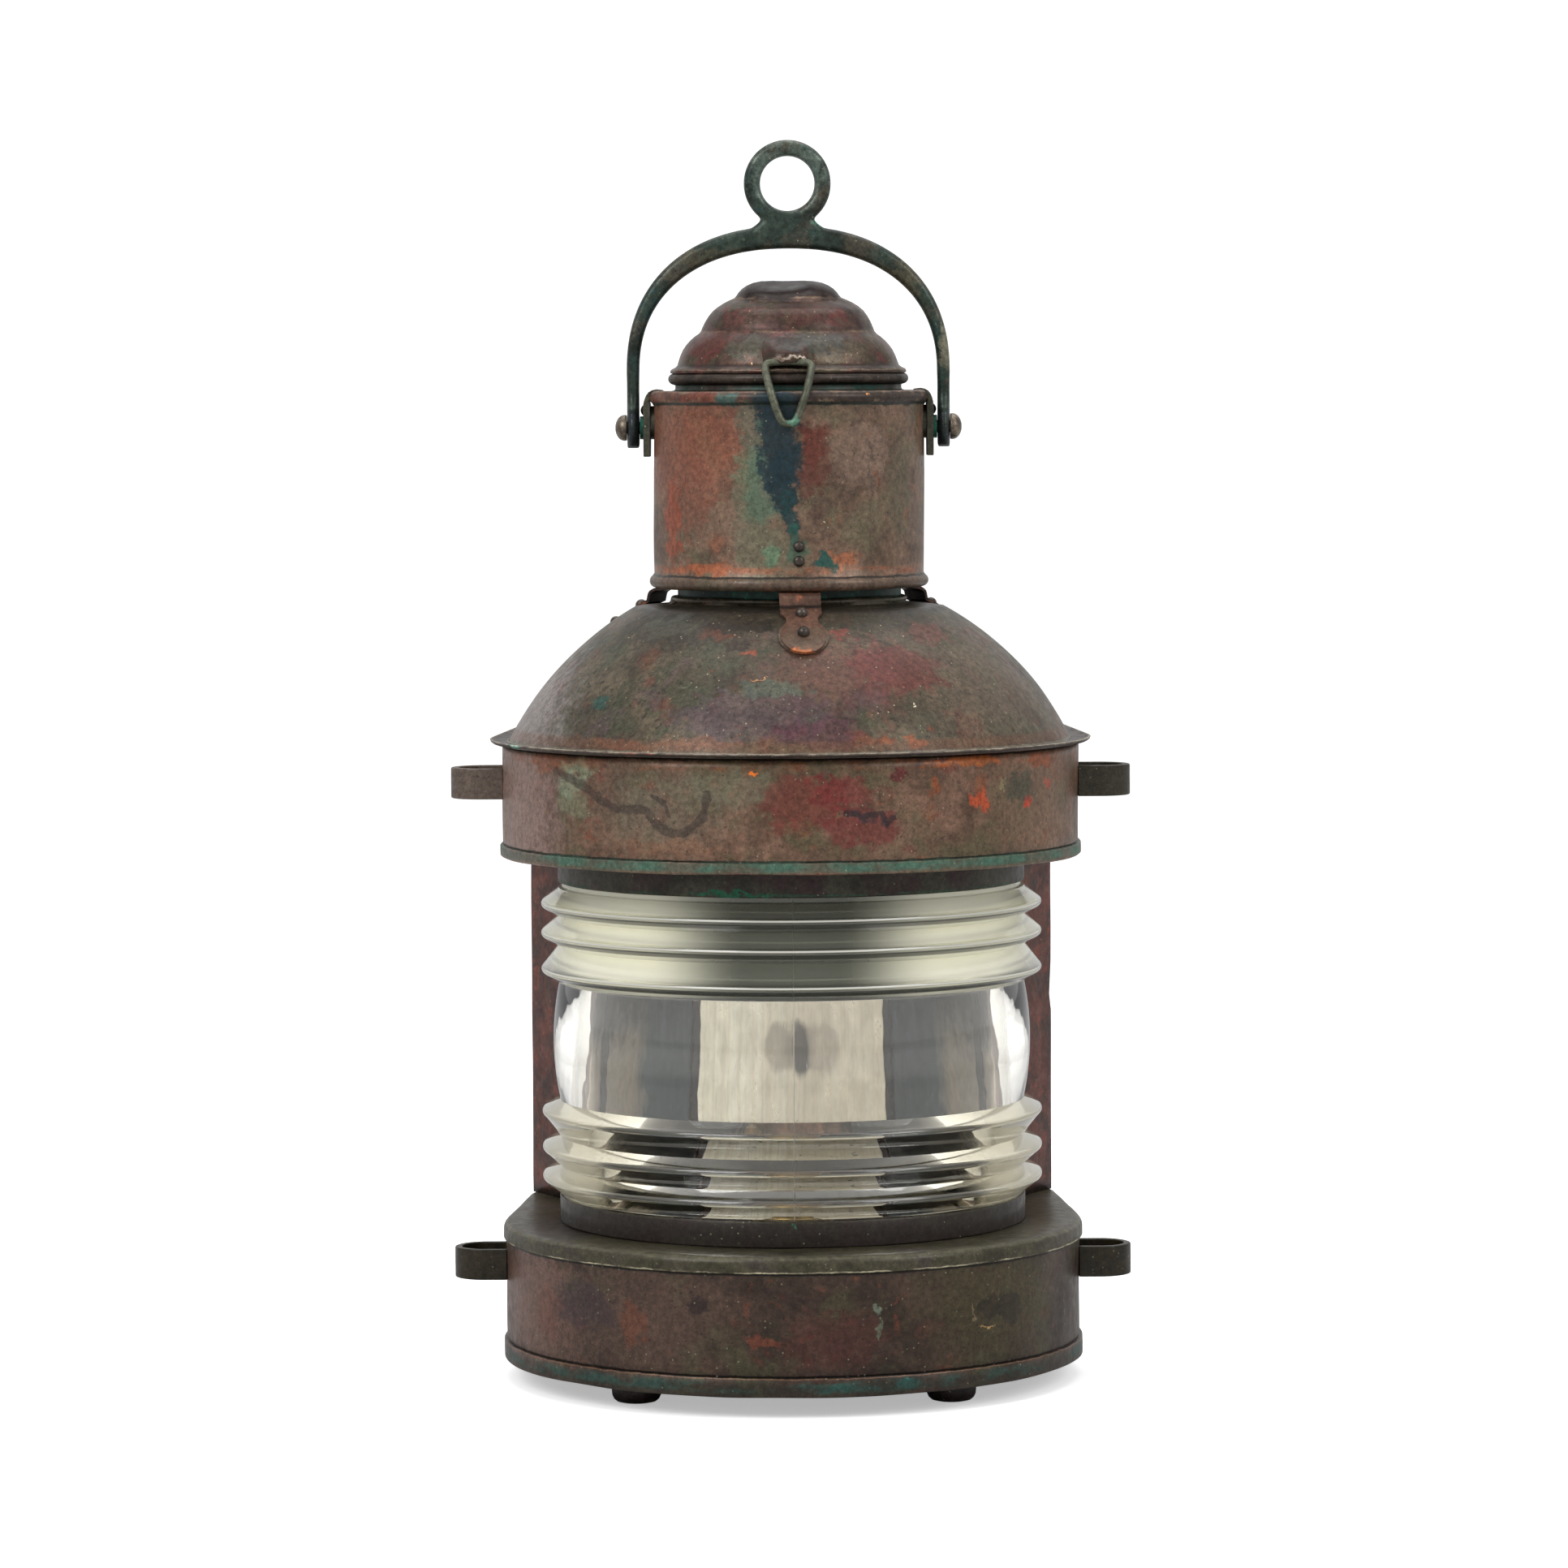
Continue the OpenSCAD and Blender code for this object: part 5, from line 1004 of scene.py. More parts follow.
solder = bmesh.new()
for turn in STRAP_TURNS.values():
    bead = bmesh.new()
    turned(bead, [(TONGUE_R + 0.3 + 1.0 * cos(radians(a)), -1.2 + 1.1 * sin(radians(a)))
                  for a in range(0, 360, 36)], steps=60, closed=True)
    for v in bead.verts:
        v.co.z += DOME_R * (sqrt(1 - (v.co.xy.length / DOME_R) ** 2) - 1)
    faces_out(bead, (0, 0, -3))
    bmesh.ops.recalc_face_normals(bead, faces=bead.faces)
    lean = asin(TONGUE_AT / mid_r)
    bmesh.ops.transform(bead, matrix=Matrix.Rotation(radians(turn), 4, "Z")
                        @ Matrix.Translation((TONGUE_AT, 0, DOME_ZC + mid_r * cos(lean)))
                        @ Matrix.Rotation(lean, 4, "Y"), verts=bead.verts)
    spare = bpy.data.meshes.new("spare")
    bead.to_mesh(spare)
    bead.free()
    solder.from_mesh(spare)
    bpy.data.meshes.remove(spare)
dent(solder, 0.25, 5, 19)
solder_grey = patina("solder_grey", "6f6252", seed=107, metal=0.5, specks="c9bda2",
                     blooms=[("4a4034", 4, 0.48, 0.62, 0.8), ("85684c", 5, 0.6, 0.72, 0.5)])
piece("strap_solder", solder, solder_grey, "lantern")

# Bail and its fittings
# The bail is cast bronze: two arms that thicken into a crown with a hanging ring on it. It
# swings on two domed screws in lugs of bent bronze strip, hooked over the top of the
# chimney, riveted through it and kept off the arms with a washer.
Z_PIVOT = 468.9
ARM_IN, ARM_OUT = 73.2, 79.4
ARM_STRAIGHT = 27
BAIL_RISE = 98.5
CROWN_T = 11
BAIL_HALF_W = 4.5
EYE_R = 10
RING_UP = 119.3
RING_R, RING_HOLE_R = 21.4, 14.0

bail_bronze = patina("bail_bronze", "2b362f", seed=111, metal=0.4, rough=0.38, contrast=0.32, specks="9c9a84",
                     dust=0.9, grain=0.8,
                     blooms=[("4a453a", 22, 0.48, 0.62, 0.85), ("263c3a", 14, 0.52, 0.68, 0.7),
                             ("2a6a55", 7, 0.68, 0.78, 0.6, (1, 1, 1), 0.7),
                             ("1d2423", 9, 0.55, 0.72, 0.6)],
                     spots=[("3c7a66", (-17, 0, 569), (5, 8, 2.4), 0.5, 0.6),
                            ("3c7a66", (17, 0, 569.5), (5, 8, 2.4), 0.5, 0.6),
                            ("1c3a3c", (-60, 0, 520), (16, 8, 20), 0.6),
                            ("173a34", (74, 0, 500), (8, 8, 26), 0.6),
                            ("5b5442", (56, 0, 540), (20, 8, 14), 0.6), ("65736a", (0, 0, 592), (28, 10, 21), 0.6),
                            ("8a826c", (78, -3, 510), (5, 6, 16), 0.5), ("22252e", (-76, 0, 466), (14, 14, 16), 0.85), ("22252e", (76, 0, 466), (14, 14, 14), 0.7), ("57503f", (-40, -3, 552), (26, 8, 5), 0.5)])


def rounded(bm, stations, around=20, power=2.6):
    """A closed bar through stations of (centre, side way, half thickness, half width)."""
    def spot(i, station):
        middle, way, thick, wide = station
        a = 2 * pi * i / around
        c, s = cos(a), sin(a)
        u = thick * (1 if c > 0 else -1) * abs(c) ** (2 / power)
        v = wide * (1 if s > 0 else -1) * abs(s) ** (2 / power)
        return middle + way * u + Vector((0, 1, 0)) * v
    number, edges = ring(bm, around, stations[0], spot)
    loft(bm, edges, number, stations[1:], spot)


def arch(half_w, top, t):
    return Vector((half_w * (1 if cos(t) > 0 else -1) * abs(cos(t)) ** 0.88, 0,
                   ARM_STRAIGHT + (top - ARM_STRAIGHT) * sin(t) ** 0.88))


stations = []
for z in (-10, -9.8, -9, -7, -4, 0, 4, 7, 9, 11, 14, 18, 22):
    wide = max(BAIL_HALF_W if z > 0 else 1.5, sqrt(max(0, EYE_R ** 2 - z * z)))
    blend_up = max(wide, BAIL_HALF_W + 3.4 * max(0, 1 - abs(z - 9) / 6)) if z > 6 else wide
    stations.append((Vector(((ARM_IN + ARM_OUT) / 2, 0, z)), Vector((1, 0, 0)),
                     (ARM_OUT - ARM_IN) / 2, blend_up))
for i in range(61):
    t = pi * i / 60
    outer, inner = arch(ARM_OUT, BAIL_RISE, t), arch(ARM_IN, BAIL_RISE - CROWN_T, t)
    stations.append(((outer + inner) / 2, (outer - inner).normalized(),
                     (outer - inner).length / 2 + 0.15, BAIL_HALF_W))
far_arm = [(Vector((-c.x, 0, c.z)), Vector((-1, 0, 0)), thick, wide)
           for c, way, thick, wide in reversed(stations[:13])]
bail = bmesh.new()
rounded(bail, stations + far_arm)
bmesh.ops.holes_fill(bail, edges=[e for e in bail.edges if e.is_boundary], sides=0)
RING_R, RING_HOLE_R = RING_R + 0.1, RING_HOLE_R - 0.7
mid_ring = (RING_R + RING_HOLE_R) / 2
hoop = []
for i in range(49):
    a = 2 * pi * i / 48
    way = Vector((cos(a), 0, sin(a)))
    hoop.append((Vector((0, 0, RING_UP)) + way * mid_ring, way, (RING_R - RING_HOLE_R) / 2,
                 BAIL_HALF_W - 0.2))
rounded(bail, hoop)
web = [(Vector((0, 0, z)), Vector((1, 0, 0)), half, BAIL_HALF_W)
       for z, half in ((92, 24), (95, 21.5), (97.5, 18), (99.3, 15.4), (101, 13.6), (102.6, 12.6))]
rounded(bail, web, power=3.4)
bmesh.ops.holes_fill(bail, edges=[e for e in bail.edges if e.is_boundary], sides=0)
bmesh.ops.translate(bail, vec=(0, 0, Z_PIVOT), verts=bail.verts)
bmesh.ops.remove_doubles(bail, verts=bail.verts, dist=0.001)
bmesh.ops.recalc_face_normals(bail, faces=bail.faces)
cast_bail = piece("cast_bail", bail, bail_bronze, "bail", ["bail"])
skin = cast_bail.modifiers.new("skin", "REMESH")
skin.mode = "VOXEL"
skin.voxel_size = 0.0009
skin.use_smooth_shade = True
soft = cast_bail.modifiers.new("soft", "SMOOTH")
soft.factor = 0.6
soft.iterations = 6

lug_bronze = patina("lug_bronze", "45453a", seed=121, metal=0.4, specks="c0b79c", dust=0.8,
                    blooms=[("33352e", 8, 0.48, 0.62, 0.8), ("5a5040", 6, 0.58, 0.72, 0.6),
                            ("2a6a55", 5, 0.66, 0.76, 0.5, (1, 1, 1), 0.7)])
LUG_HALF_W = 9
lug_line = [(71.3, Z_TOP - 32.2), (71.3, Z_TOP - 24), (71.3, Z_TOP - 14), (71.3, Z_TOP - 8),
            (71.2, Z_TOP - 6), (70.7, Z_TOP - 4), (69.9, Z_TOP - 2.1), (68.7, Z_TOP - 0.5),
            (67, Z_TOP + 0.5), (65, Z_TOP + 0.9), (63, Z_TOP + 0.7), (61.4, Z_TOP + 0.4)]
for side, way in (("left", -1), ("right", 1)):
    lug = bmesh.new()
    sheet_along(lug, len(lug_line) - 1, 6, lambda i, j: (
        way * lug_line[i][0],
        (j / 3 - 1) * (LUG_HALF_W if 0 < i < 8 else LUG_HALF_W - 1.4), lug_line[i][1]))
    faces_out(lug, (way * 60, 0, 470))
    dent(lug, 0.15, 7, 23)
    bmesh.ops.solidify(lug, geom=lug.faces[:], thickness=2.5)
    for v in lug.verts:
        v.co.x -= way * 1.0 if abs(v.co.x) < 70.1 and v.co.z < Z_TOP - 5.5 else 0
    bmesh.ops.recalc_face_normals(lug, faces=lug.faces)
    piece(side + "_hooked_lug", lug, lug_bronze, "lantern", [side + "_lug"],
          broken=0.45)
washer_bronze = patina("washer_bronze", "1f5c4c", seed=125, metal=0.3,
                       blooms=[("174238", 3, 0.5, 0.65, 0.8), ("2f8a70", 3, 0.6, 0.72, 0.6)])
eased("bail_washers", "pivot_washers", washer_bronze, "lantern", 0.2)
eased("lug_rivets", "lug_rivet_heads", lug_bronze, "lantern", 0.15)

for side, way in (("left", -1), ("right", 1)):
    boss = bmesh.new()
    turned(boss, [(4.1, -1.2), (7.6, -1.2), (8.2, -0.8), (8.2, 1.9), (7.7, 2.3), (4.1, 2.3)],
           steps=40, closed=True)
    faces_out(boss, (6, 0, 1.1))
    bmesh.ops.recalc_face_normals(boss, faces=boss.faces)
    seat = (Matrix.Translation((way * 66.5, 0, Z_PIVOT + 2.5))
            @ Matrix.Rotation(radians(90 * way), 4, "Y"))
    bmesh.ops.transform(boss, matrix=seat, verts=boss.verts)
    piece(side + "_lug_boss", boss, lug_bronze, "lantern")

SCREW_R = 6.4
screw_steel = patina("screw_steel", "6a6053", seed=131, metal=0.6, rough=0.4,
                     blooms=[("453b36", 5, 0.48, 0.62, 0.8), ("6f5c4c", 4, 0.58, 0.72, 0.6)])
head = [(3, -14), (3, 0), (SCREW_R - 0.3, 0), (SCREW_R, 0.5), (SCREW_R, 1.2)]
head += [(SCREW_R * cos(radians(a)), 1.2 + 4.5 * sin(radians(a))) for a in range(15, 76, 12)]
head += [(1.3, 5.62), (0.9, 5.5), (0.8, 4.4), (0, 4.3)]
screws = bmesh.new()
turned(screws, head, steps=48)
faces_out(screws, (0, 0, 2))
tip = Matrix.Translation((ARM_OUT + 0.15, 0, Z_PIVOT)) @ Matrix.Rotation(radians(90), 4, "Y")
bmesh.ops.transform(screws, matrix=tip, verts=screws.verts)
bmesh.ops.mirror(screws, geom=screws.verts[:] + screws.edges[:] + screws.faces[:],
                 axis="X", merge_dist=0)
bmesh.ops.recalc_face_normals(screws, faces=screws.faces)
piece("domed_screws", screws, screw_steel, "lantern", ["bail_screws"])


# Cap
# Spun from one sheet in three rounded steps over a flange that rests on the seat of the
# chimney. It is hinged at the back, and a strip soldered on its front holds the hasp.
CAP_OUTLINE = [(0, 540.9), (8, 540.85), (13, 540.5), (17, 539.6), (20, 538.3), (22.4, 536.7),
               (24.2, 534.9), (25.2, 533.4), (26.2, 532.3), (28.6, 531.3), (31.6, 529.9),
               (34.6, 528.0), (37.0, 525.9), (39.0, 523.3), (40.7, 520.4), (42.0, 517.6),
               (42.7, 515.9), (43.7, 514.7), (45.6, 513.4), (47.8, 511.5), (49.8, 509.4),
               (51.6, 506.9), (53.0, 504.0), (54.0, 501.0), (54.6, 499.2), (55.8, 498.2),
               (57.2, 497.6), (57.9, 497.0), (58.1, 496.3), (57.9, 495.6), (57.3, 495.5)]

cap_copper = patina(
    "cap_copper", "49352d", seed=141, specks="bda184", dust=0.6, rough=0.38, contrast=0.28,
    blooms=[("463e2e", 17, 0.47, 0.6, 0.85), ("5e2b28", 12, 0.53, 0.66, 0.75),
            ("33221f", 8, 0.53, 0.66, 0.75), ("6b4a38", 4, 0.6, 0.72, 0.5), ("4f2c35", 20, 0.58, 0.7, 0.55)],
    stripes=[("8d7a66", 531.9, 0.8, 0.5, 0.2), ("84725e", 515.4, 0.8, 0.45, 0.2),
             # The dark lines just above the two grooves are painted shade.
             ("2f2622", 533.4, 0.9, 0.5), ("352b26", 517, 1.0, 0.4), ("2a211c", 498.8, 1.4, 0.7),
             ("7f7160", 497.0, 0.5, 0.5)],
    spots=[("5a4f40", (24, -48, 506), (26, 16, 8), 0.7), ("55332f", (-12, -42, 514), (22, 16, 4), 0.5),
           ("d9b27a", (-17, -52, 500), (1.4, 3, 0.7), 0.9),
           # The nearly black patch in the slot under the lip of the hasp bridge is painted shade.
           ("14100e", (0, -57, 498.4), (10, 6, 2.0), 1.0), ("8d7c6e", (-1, -60, 502), (11, 6, 1.7), 0.8),
           ("c4b5a4", (4, -60, 502), (6, 5, 1.0), 0.8), ("57302c", (-30, -36, 522), (14, 14, 8), 0.5),
           # The dark patch over the top of the cap is painted shade.
           ("241918", (2, -16, 538), (60, 50, 9), 0.97), ("3e4240", (16, -50, 510), (26, 16, 7), 0.6),
           ("5a2622", (-40, -30, 510), (14, 26, 12), 0.6), ("532a28", (10, -40, 524), (16, 14, 7), 0.4),
           ("2c2119", (-18, -46, 513), (14, 12, 3), 0.7), ("4d5044", (-20, -46, 508), (14, 12, 7), 0.5)])
cap = bmesh.new()
turned(cap, CAP_OUTLINE, steps=150)
faces_out(cap, (0, 0, 510))
for v in cap.verts:
    v.co.z += 0.08 * min(0, v.co.y) * min(1, max(0, (v.co.z - 526) / 6))
    far = Vector((v.co.x + 4, v.co.y + 12)).length
    v.co.z -= 2.6 * max(0, 1 - (far / 15) ** 2) ** 1.3 if v.co.z > 530 else 0
    far = Vector((v.co.x - 24, v.co.y + 12, v.co.z - 527)).length
    v.co -= Vector((0.7, -0.4, 0.6)) * 1.6 * max(0, 1 - (far / 7) ** 2) ** 1.3
dent(cap, 0.5, 18, 12)
piece("spun_cap", cap, cap_copper, "cap", ["cap"], sheet=1.1)

spigot = bmesh.new()
turned(spigot, [(52.3, 501), (52.3, 495), (52.1, 491)], steps=100)
faces_out(spigot, (0, 0, 496))
piece("cap_spigot", spigot, flue_copper, "cap", sheet=0.9)

HINGE_Y, HINGE_Z = 64.2, 497.5
leaf_line = [Vector((50.5, 508.9)), Vector((53.4, 504.6)), Vector((55.4, 499.9)),
             Vector((57.6, 498.6)), Vector((60, 498.9))]
leaf_line += [Vector((HINGE_Y + 2.5 * cos(a), HINGE_Z + 2.5 * sin(a)))
              for a in [radians(140 - 24 * i) for i in range(14)]]
knuckle = bmesh.new()
sheet_along(knuckle, len(leaf_line) - 1, 4,
            lambda i, j: (-3.5 + 7 * j / 4, *leaf_line[i]))
faces_out(knuckle, (0, 55, 480))
piece("cap_hinge_knuckle", knuckle, lug_bronze, "cap", sheet=0.9, broken=0.2)

BRIDGE_HALF_W = 13


def cap_radius(z):
    """The radius of the cap at one height."""
    for (r0, z0), (r1, z1) in zip(CAP_OUTLINE, CAP_OUTLINE[1:]):
        if z1 <= z <= z0:
            return r0 + (r1 - r0) * (z0 - z) / (z0 - z1)


def bridge_point(i, j):
    """The strip swells out of the wall of the cap over the bar of the hasp."""
    u = j / 10 - 1
    z = 514 - 13.7 * i / 14
    t = min(1, i / 11)
    r = cap_radius(z) - 0.5
    r += (60.2 - 0.25 * max(0, i - 12) - r) * t * t * (3 - 2 * t) * (1 - abs(u) ** 2.4)
    x = u * BRIDGE_HALF_W
    return (x, -sqrt(r * r - x * x), z)


bridge = bmesh.new()
sheet_along(bridge, 20, 14, lambda j, i: bridge_point(i, j))
faces_out(bridge, (0, -50, 492))
dent(bridge, 0.3, 5, 17)
piece("hasp_bridge", bridge, cap_copper, "cap", ["hasp_clip"], sheet=1.1,
      broken=0.3)

eased("cap_hinge_leaf", "cap_hinge_plate", lug_bronze, "lantern", 0.3)


# Hasp
# A loop of bronze wire: a bar that turns in the bridge on the cap, two legs that stand
# clear of the beads, and a round bend for a lock or a pin. Its ends are brazed in the bar.
WIRE_R = 1.9
HASP_TURN = [(-11.5, -57.2, 500.9), (11.5, -57.2, 500.9), (10.9, -61.9, 495.5),
             (8.9, -71.2, 487.3), (5.2, -71.2, 475.8), (2.6, -71.2, 471), (-2.6, -71.2, 471),
             (-5.2, -71.2, 475.8), (-8.9, -71.2, 487.3), (-10.9, -61.9, 495.5)]

hasp_bronze = patina("hasp_bronze", "57594a", seed=151, metal=0.45, specks="b8b8a0",
                     blooms=[("45473a", 5, 0.48, 0.62, 0.8), ("6b6852", 4, 0.58, 0.7, 0.6),
                             ("3f7a66", 5, 0.66, 0.76, 0.7, (1, 1, 1), 0.7)],
                     spots=[("5a8a74", (3, -71, 472), (5, 6, 3), 0.6, 0.6)])
path = [Vector(p) for p in HASP_TURN]
for turn in range(3):
    path = [q for a, b in zip(path, path[1:] + path[:1])
            for q in (a.lerp(b, 0.22), a.lerp(b, 0.78))]


def wire(bm, line, radius, around=14):
    """A round wire along a closed line."""
    frames = []
    up = Vector((0, 1, 0))
    for before, here, after in zip(line[-1:] + line[:-1], line, line[1:] + line[:1]):
        along = (after - before).normalized()
        up = (up - along * up.dot(along)).normalized()
        frames.append((here, up.copy(), along.cross(up)))

    def spot(i, station):
        a = 2 * pi * i / around
        return station[0] + radius * (station[1] * cos(a) + station[2] * sin(a))
    number, edges = ring(bm, around, frames[0], spot)
    last = loft(bm, edges, number, frames[1:], spot)
    bmesh.ops.bridge_loops(bm, edges=edges + last)


hasp = bmesh.new()
wire(hasp, path, WIRE_R)
bmesh.ops.recalc_face_normals(hasp, faces=hasp.faces)
piece("hasp_loop", hasp, hasp_bronze, "hasp", ["hasp_wire"])


# Guide eyes
# Four eyes of bent bronze strip, one above the other on each side of the body, that slid
# on guide ropes. Their ends are brazed to the wall of the drum and of the base.
EYE_OUT_R = 15.6
EYE_T = 3.6
EYE_H = 15.2
EYE_AT = 152.05
WALL_X = 141.1

eye_bronze = patina("eye_bronze", "2b261c", seed=161, metal=0.4,
                    blooms=[("24221c", 9, 0.48, 0.62, 0.8), ("4a4032", 6, 0.58, 0.72, 0.6),
                            ("2f4f42", 4, 0.66, 0.76, 0.5, (1, 1, 1), 0.6)],
                    spots=[("6b5d54", (-152, 0, 294), (40, 60, 30), 0.75), ("3f3b31", (152, 0, 294), (40, 60, 30), 0.6)])
eye_line = [(WALL_X, -EYE_OUT_R), (146, -EYE_OUT_R), (149.5, -EYE_OUT_R)]
eye_line += [(EYE_AT + EYE_OUT_R * cos(a), EYE_OUT_R * sin(a))
             for a in [radians(-90 + 7.5 * i) for i in range(25)]]
eye_line += [(149.5, EYE_OUT_R), (146, EYE_OUT_R), (WALL_X, EYE_OUT_R)]
for level, z in (("upper", 287.0), ("lower", 49.0)):
    for side, way in (("left", -1), ("right", 1)):
        eye = bmesh.new()
        sheet_along(eye, len(eye_line) - 1, 3,
                    lambda i, j: (way * eye_line[i][0], eye_line[i][1], z + EYE_H * j / 3))
        faces_out(eye, (way * EYE_AT, 0, z + EYE_H / 2))
        dent(eye, 0.1, 9, 14)
        piece(level + "_" + side + "_guide", eye, eye_bronze, "lantern",
              [level + "_" + side + "_eye"], sheet=EYE_T, broken=0.7)


# Back door
# A flat copper door on two strap hinges, shut with a turn button, and with a bright tray on
# its inside as a reflector behind the flame.
door_copper = patina("door_copper", "503a31", seed=171,
                     blooms=[("44423a", 40, 0.47, 0.62, 0.8), ("6a4232", 18, 0.58, 0.72, 0.6),
                             ("3b3130", 22, 0.54, 0.7, 0.6), ("4c6454", 9, 0.69, 0.79, 0.5, (1, 1, 1), 0.6)],
                     stripes=[("2b2420", 23, 2, 0.7), ("2b2420", 247, 2, 0.7)])
hinge_bronze = patina("hinge_bronze", "3f3d32", seed=175, metal=0.4, specks="b0a888",
                      blooms=[("2f2e28", 9, 0.48, 0.62, 0.8), ("5a4c3c", 7, 0.58, 0.72, 0.6),
                              ("2f5a4a", 6, 0.67, 0.77, 0.5, (1, 1, 1), 0.6)])
pin_steel = patina("pin_steel", "4a4541", seed=179, metal=0.7, rough=0.36,
                   blooms=[("37322e", 4, 0.48, 0.62, 0.8), ("6b4a38", 3, 0.6, 0.72, 0.6)])
reflector_sheet = patina(
    "reflector_sheet", "fdf4e2", seed=183, metal=0.75, rough=0.36, specks="ffffff", grain=0.06, contrast=0.05,
    blooms=[("e6dac6", 2.6, 0.45, 0.6, 0.6, (1, 1, 60)), ("fffaf0", 1.8, 0.5, 0.62, 0.6, (1, 1, 80)),
            ("cdc0ab", 6, 0.55, 0.7, 0.25, (1, 1, 30)), ("b3a693", 2.2, 0.66, 0.78, 0.35, (1, 1, 40))],
    # The dark patch low in the middle, with its greyer fringe, is a painted reflection of the camera in front of it.
    spots=[("d5c8b4", (24, 92, 170), (36, 14, 80), 0.5), ("a0968a", (-7, 92, 146.9), (9, 14, 5.2), 0.7),
           ("93897d", (4, 92, 146.9), (9, 14, 5.4), 0.7), ("a0958a", (16, 92, 146.9), (11, 14, 5.2), 0.55),
           ("332d27", (4.5, 92, 146.8), (5.5, 14, 5.6), 0.8), ("5b6150", (0, 92, 94), (300, 60, 44), 0.7)])
eased("back_door", "back_door_plate", door_copper, "door", 0.3)
eased("door_reflector", "reflector_pan", reflector_sheet, "door", 0.3)
for name in ("upper_door_hinge", "lower_door_hinge"):
    eased(name, name + "_leaf", hinge_bronze, "lantern", 0.3)
for name in ("upper_door_strap", "lower_door_strap"):
    eased(name, name + "_leaf", hinge_bronze, "door", 0.3)
eased("door_catch", "turn_button", hinge_bronze, "catch", 0.3)
for name in ("catch_stud", "door_hinge_pins", "cap_hinge_pin"):
    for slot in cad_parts[name].material_slots:
        slot.material = pin_steel


# Oil lamp
# It stands on the floor between two rails: a soldered font, a brass filler cap, and a burner
# with a flat wick that a knob on the right winds up and down.
rail_copper = patina("rail_copper", "6b5142", seed=191,
                     blooms=[("53413a", 12, 0.48, 0.62, 0.7), ("44503f", 8, 0.64, 0.76, 0.5)])
font_copper = patina("font_copper", "80624b", seed=195, rough=0.4,
                     blooms=[("5c4a3c", 18, 0.48, 0.62, 0.8), ("97704f", 12, 0.56, 0.7, 0.6),
                             ("4c5a48", 10, 0.66, 0.78, 0.5, (1, 1, 1), 0.5)])
lamp_brass = patina("lamp_brass", "8a744a", seed=199, metal=0.6, rough=0.38,
                    blooms=[("5c4f36", 8, 0.46, 0.6, 0.8), ("a48b58", 6, 0.56, 0.7, 0.6),
                            ("3d3a30", 12, 0.6, 0.74, 0.7)])
wick_cotton = patina("wick_cotton", "9c907a", seed=203, metal=0.0, rough=0.9,
                     blooms=[("7c705c", 1.6, 0.45, 0.6, 0.7, (1, 1, 3))],
                     stripes=[("14110f", 131, 6, 1.0)])
for names, finish in ((["lamp_rails"], rail_copper), (["fuel_font"], font_copper),
                      (["filler_cap", "burner", "wick_tube", "wick_winder"], lamp_brass),
                      (["wick"], wick_cotton)):
    for name in names:
        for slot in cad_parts[name].material_slots:
            slot.material = finish


# Studio
# A white sweep of floor under soft lamps, and the camera a little over the middle of the
# lantern, three metres in front of it.
sweep_white = bpy.data.materials.new("sweep_white")
sweep_white.use_nodes = True
tree = sweep_white.node_tree
shader = tree.nodes["Principled BSDF"]
shader.inputs["Roughness"].default_value = 0.9
shader.inputs["Specular IOR Level"].default_value = 0.1
shader.inputs["Emission Color"].default_value = (1, 1, 1, 1)
rays = tree.nodes.new("ShaderNodeLightPath")
lift = tree.nodes.new("ShaderNodeMath")
lift.operation = "MULTIPLY"
lift.inputs[1].default_value = 0.42
pale = tree.nodes.new("ShaderNodeMix")
pale.data_type = "RGBA"
pale.inputs[6].default_value = (0.5, 0.5, 0.5, 1)
pale.inputs[7].default_value = (0.9, 0.9, 0.9, 1)
clear = tree.nodes.new("ShaderNodeMath")
clear.operation = "MAXIMUM"
tree.links.new(rays.outputs["Is Camera Ray"], clear.inputs[0])
tree.links.new(rays.outputs["Is Transmission Ray"], clear.inputs[1])
tree.links.new(clear.outputs[0], lift.inputs[0])
tree.links.new(clear.outputs[0], pale.inputs[0])
tree.links.new(lift.outputs[0], shader.inputs["Emission Strength"])
tree.links.new(pale.outputs[2], shader.inputs["Base Color"])
floor = bmesh.new()
bmesh.ops.create_grid(floor, x_segments=8, y_segments=8, size=30)
floor_mesh = bpy.data.meshes.new("studio_floor")
floor.to_mesh(floor_mesh)
floor.free()
floor_mesh.materials.append(sweep_white)
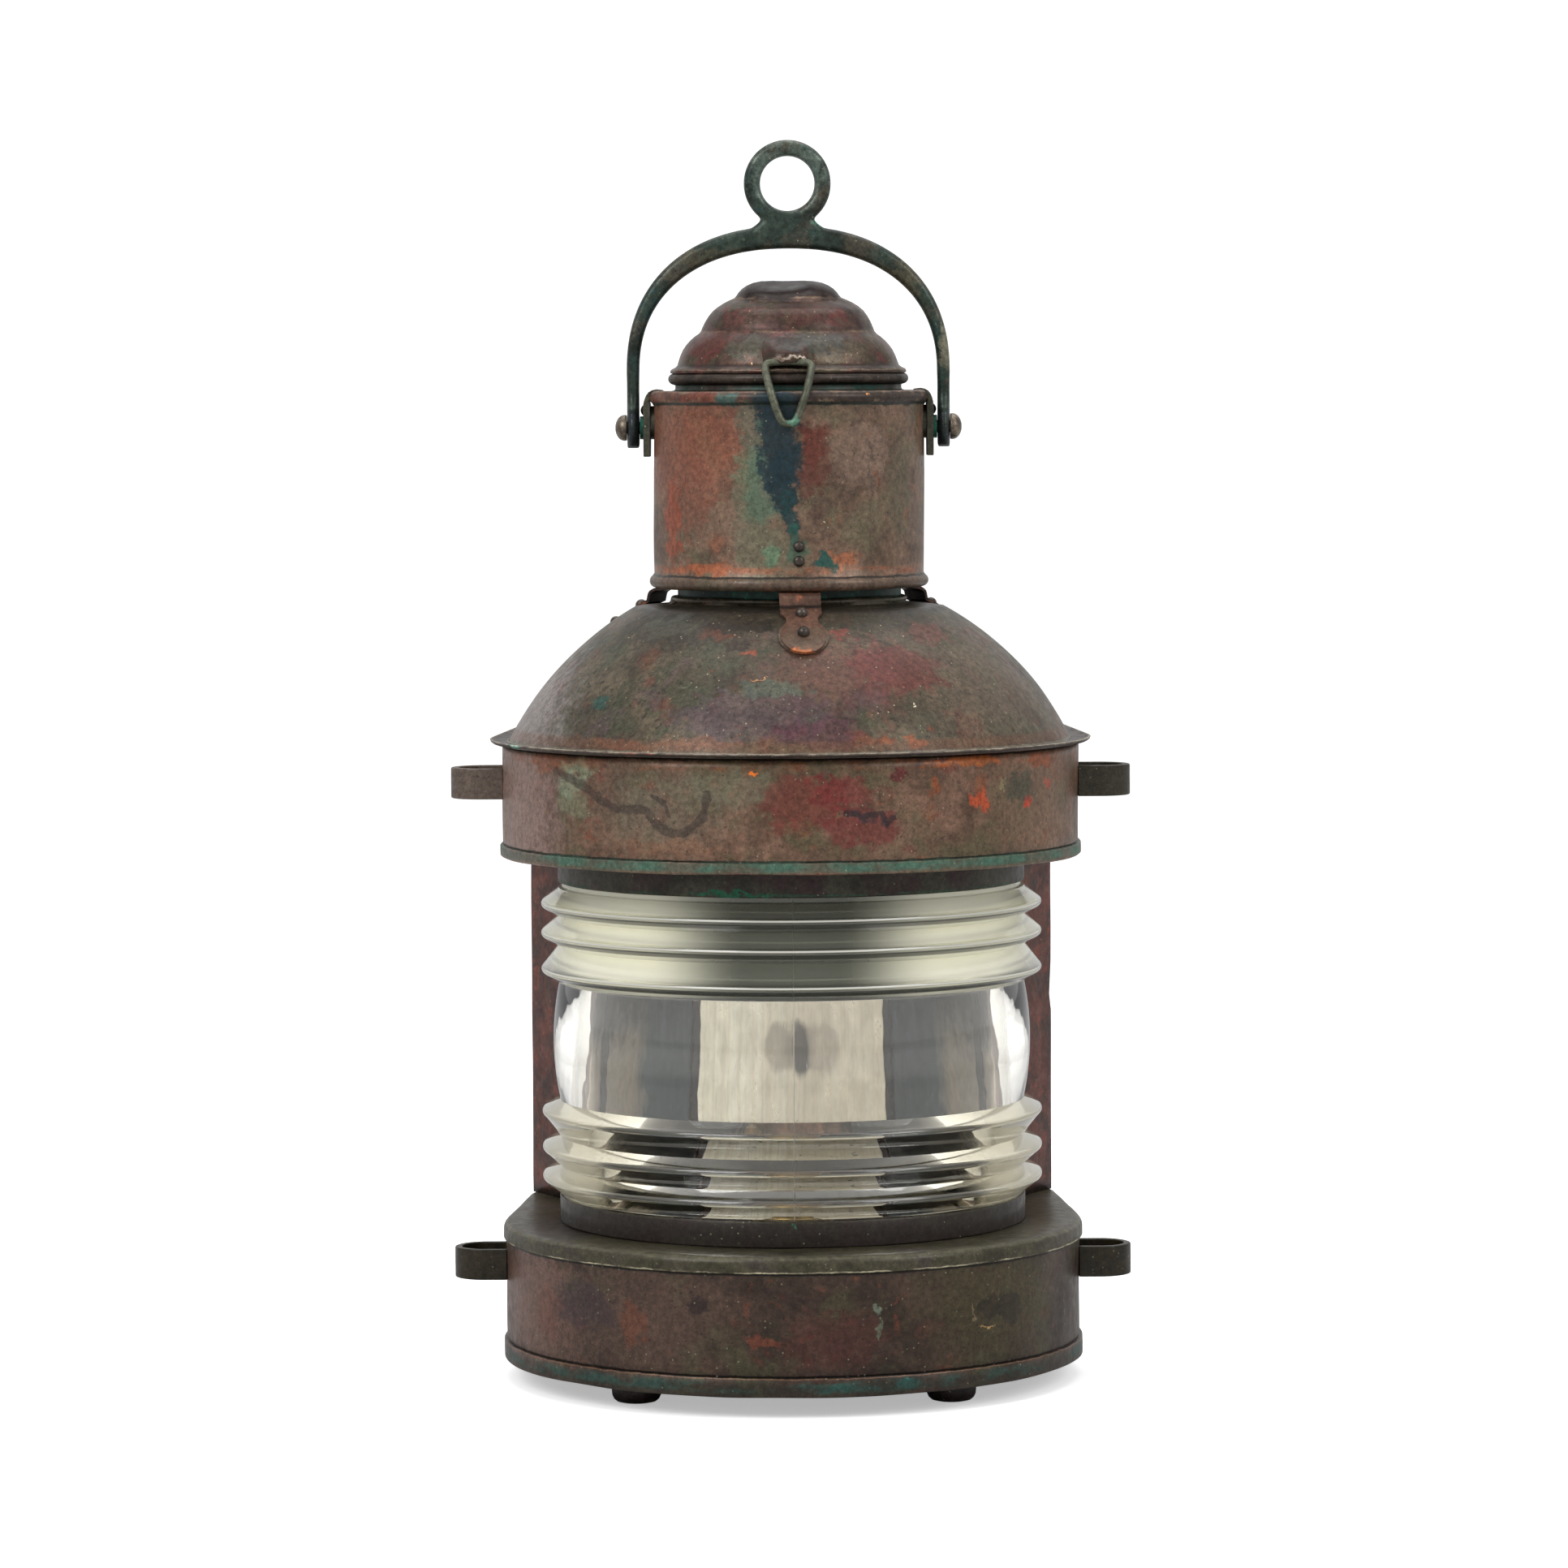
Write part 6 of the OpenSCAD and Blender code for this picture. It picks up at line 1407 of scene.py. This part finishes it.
studio_floor = bpy.data.objects.new("studio_floor", floor_mesh)
bpy.context.scene.collection.objects.link(studio_floor)

world = bpy.data.worlds.new("studio")
world.use_nodes = True
bpy.context.scene.world = world
tree = world.node_tree
lit = tree.nodes["Background"]
lit.inputs["Color"].default_value = (1, 1, 1, 1)
lit.inputs["Strength"].default_value = 0.68
seen = tree.nodes.new("ShaderNodeBackground")
seen.inputs["Color"].default_value = (1, 1, 1, 1)
seen.inputs["Strength"].default_value = 1.2
rays = tree.nodes.new("ShaderNodeLightPath")
clear = tree.nodes.new("ShaderNodeMath")
clear.operation = "MAXIMUM"
tree.links.new(rays.outputs["Is Camera Ray"], clear.inputs[0])
tree.links.new(rays.outputs["Is Transmission Ray"], clear.inputs[1])
both = tree.nodes.new("ShaderNodeMixShader")
tree.links.new(clear.outputs[0], both.inputs[0])
tree.links.new(lit.outputs[0], both.inputs[1])
tree.links.new(seen.outputs[0], both.inputs[2])
tree.links.new(both.outputs[0], tree.nodes["World Output"].inputs["Surface"])

for name, spot, size, power in (("key", (-2.0, -2.2, 2.4), 1.8, 62), ("fill", (2.4, -1.8, 2.2), 1.8, 42),
                                ("top", (0.1, 0.6, 3.0), 2.6, 36)):
    lamp = bpy.data.lights.new(name, "AREA")
    lamp.size = size
    lamp.energy = power
    light = bpy.data.objects.new(name, lamp)
    aim = Vector((0, 0, 0.3)) - Vector(spot)
    light.matrix_world = Matrix.Translation(spot) @ aim.to_track_quat("-Z", "Y").to_matrix().to_4x4()
    bpy.context.scene.collection.objects.link(light)

scene = bpy.context.scene
scene.view_settings.view_transform = "Standard"
camera_data = bpy.data.cameras.new("camera")
camera_data.sensor_width = 36
camera_data.lens = 18 * 7650 / 966
camera_data.clip_end = 100
camera = bpy.data.objects.new("camera", camera_data)
camera.matrix_world = (Matrix.Translation((-0.0032, -3.039, 0.4952))
                       @ Matrix.Rotation(radians(90 - 3.783), 4, "X")
                       @ Matrix.Rotation(radians(-0.32), 4, "Z"))
scene.collection.objects.link(camera)
scene.camera = camera
